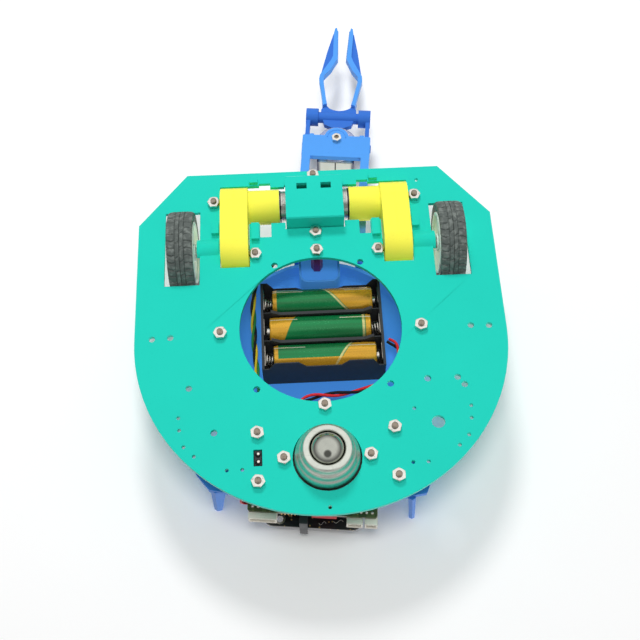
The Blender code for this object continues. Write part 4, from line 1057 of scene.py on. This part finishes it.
def room():
    """A white room, with other strengths for reflections and for the camera than for even light.

    Metals reflect darker walls near the horizon, and a dim patch on the viewer's side."""
    world = bpy.data.worlds.new("room")
    bpy.context.scene.world = world
    world.use_nodes = True
    tree = world.node_tree
    tree.nodes.clear()

    def add(kind, **inputs):
        made = tree.nodes.new("ShaderNode" + kind)
        for key, value in inputs.items():
            socket = made.inputs[key.replace("_", " ")]
            if isinstance(value, bpy.types.NodeSocket):
                tree.links.new(value, socket)
            else:
                socket.default_value = value
        return made

    place = add("TexCoord").outputs["Generated"]
    height = add("SeparateXYZ", Vector=place).outputs["Z"]
    flat = tree.nodes.new("ShaderNodeMath")
    flat.operation = "ABSOLUTE"
    tree.links.new(height, flat.inputs[0])
    walls = add("MapRange", Value=flat.outputs[0], From_Min=0.05, From_Max=0.55, To_Min=0.3, To_Max=1.3)
    facing = tree.nodes.new("ShaderNodeVectorMath")
    facing.operation = "DOT_PRODUCT"
    tree.links.new(place, facing.inputs[0])
    facing.inputs[1].default_value = Vector((0.02, -0.66, -0.75)).normalized()
    viewer = add("MapRange", Value=facing.outputs["Value"], From_Min=0.88, From_Max=0.95, To_Min=1.0,
                 To_Max=0.16)
    seen = tree.nodes.new("ShaderNodeMath")
    seen.operation = "MULTIPLY"
    tree.links.new(walls.outputs[0], seen.inputs[0])
    tree.links.new(viewer.outputs[0], seen.inputs[1])
    reflected = add("Background", Color=(1, 1, 1, 1), Strength=seen.outputs[0])
    even = add("Background", Color=(1, 1, 1, 1), Strength=EVEN_LIGHT)
    glossy = add("LightPath").outputs["Is Glossy Ray"]
    both = tree.nodes.new("ShaderNodeMixShader")
    tree.links.new(glossy, both.inputs[0])
    tree.links.new(even.outputs[0], both.inputs[1])
    tree.links.new(reflected.outputs[0], both.inputs[2])
    shown = tree.nodes.new("ShaderNodeMixShader")
    tree.links.new(add("LightPath").outputs["Is Camera Ray"], shown.inputs[0])
    tree.links.new(both.outputs[0], shown.inputs[1])
    tree.links.new(add("Background", Color=(1, 1, 1, 1), Strength=SEEN_LIGHT).outputs[0], shown.inputs[2])
    output = tree.nodes.new("ShaderNodeOutputWorld")
    tree.links.new(shown.outputs[0], output.inputs[0])


def set_stage():
    surface_plane("floor", -TABLE_GAP, False, FLOOR_GLOW)
    surface_plane("table", cad_box[1].z + TABLE_GAP, True, TABLE_GLOW)
    room()
    for settings in LAMPS:
        lamp(*settings)
    scene = bpy.context.scene
    scene.view_settings.view_transform = "Standard"
    data = bpy.data.cameras.new("camera")
    data.sensor_width, data.lens = CAMERA_SENSOR, CAMERA_LENS
    data.clip_start, data.clip_end = 0.01, 30.0
    camera = bpy.data.objects.new("camera", data)
    camera.location = CHASSIS @ Vector(CAMERA_PLACE)
    camera.rotation_euler = tuple(math.radians(a) for a in CAMERA_DEGREES)
    scene.collection.objects.link(camera)
    scene.camera = camera


# ---------------------------------------------------------------- the whole


def build():
    dress_cad()
    fasteners()
    standoffs()
    dish_lip()
    small_bolts()
    for name, side in (("left", -1), ("right", 1)):
        tyre(name, side)
        hub(name, side)
        motor_ends(name, side)
        gearbox_trim(name, side)
    caster()
    cells()
    contacts()
    driver_parts()
    rear_edge_parts()
    controller_parts()
    connector_pins()
    sensor_parts()
    servo_parts()
    horn_ring()
    wires()
    set_stage()


build()
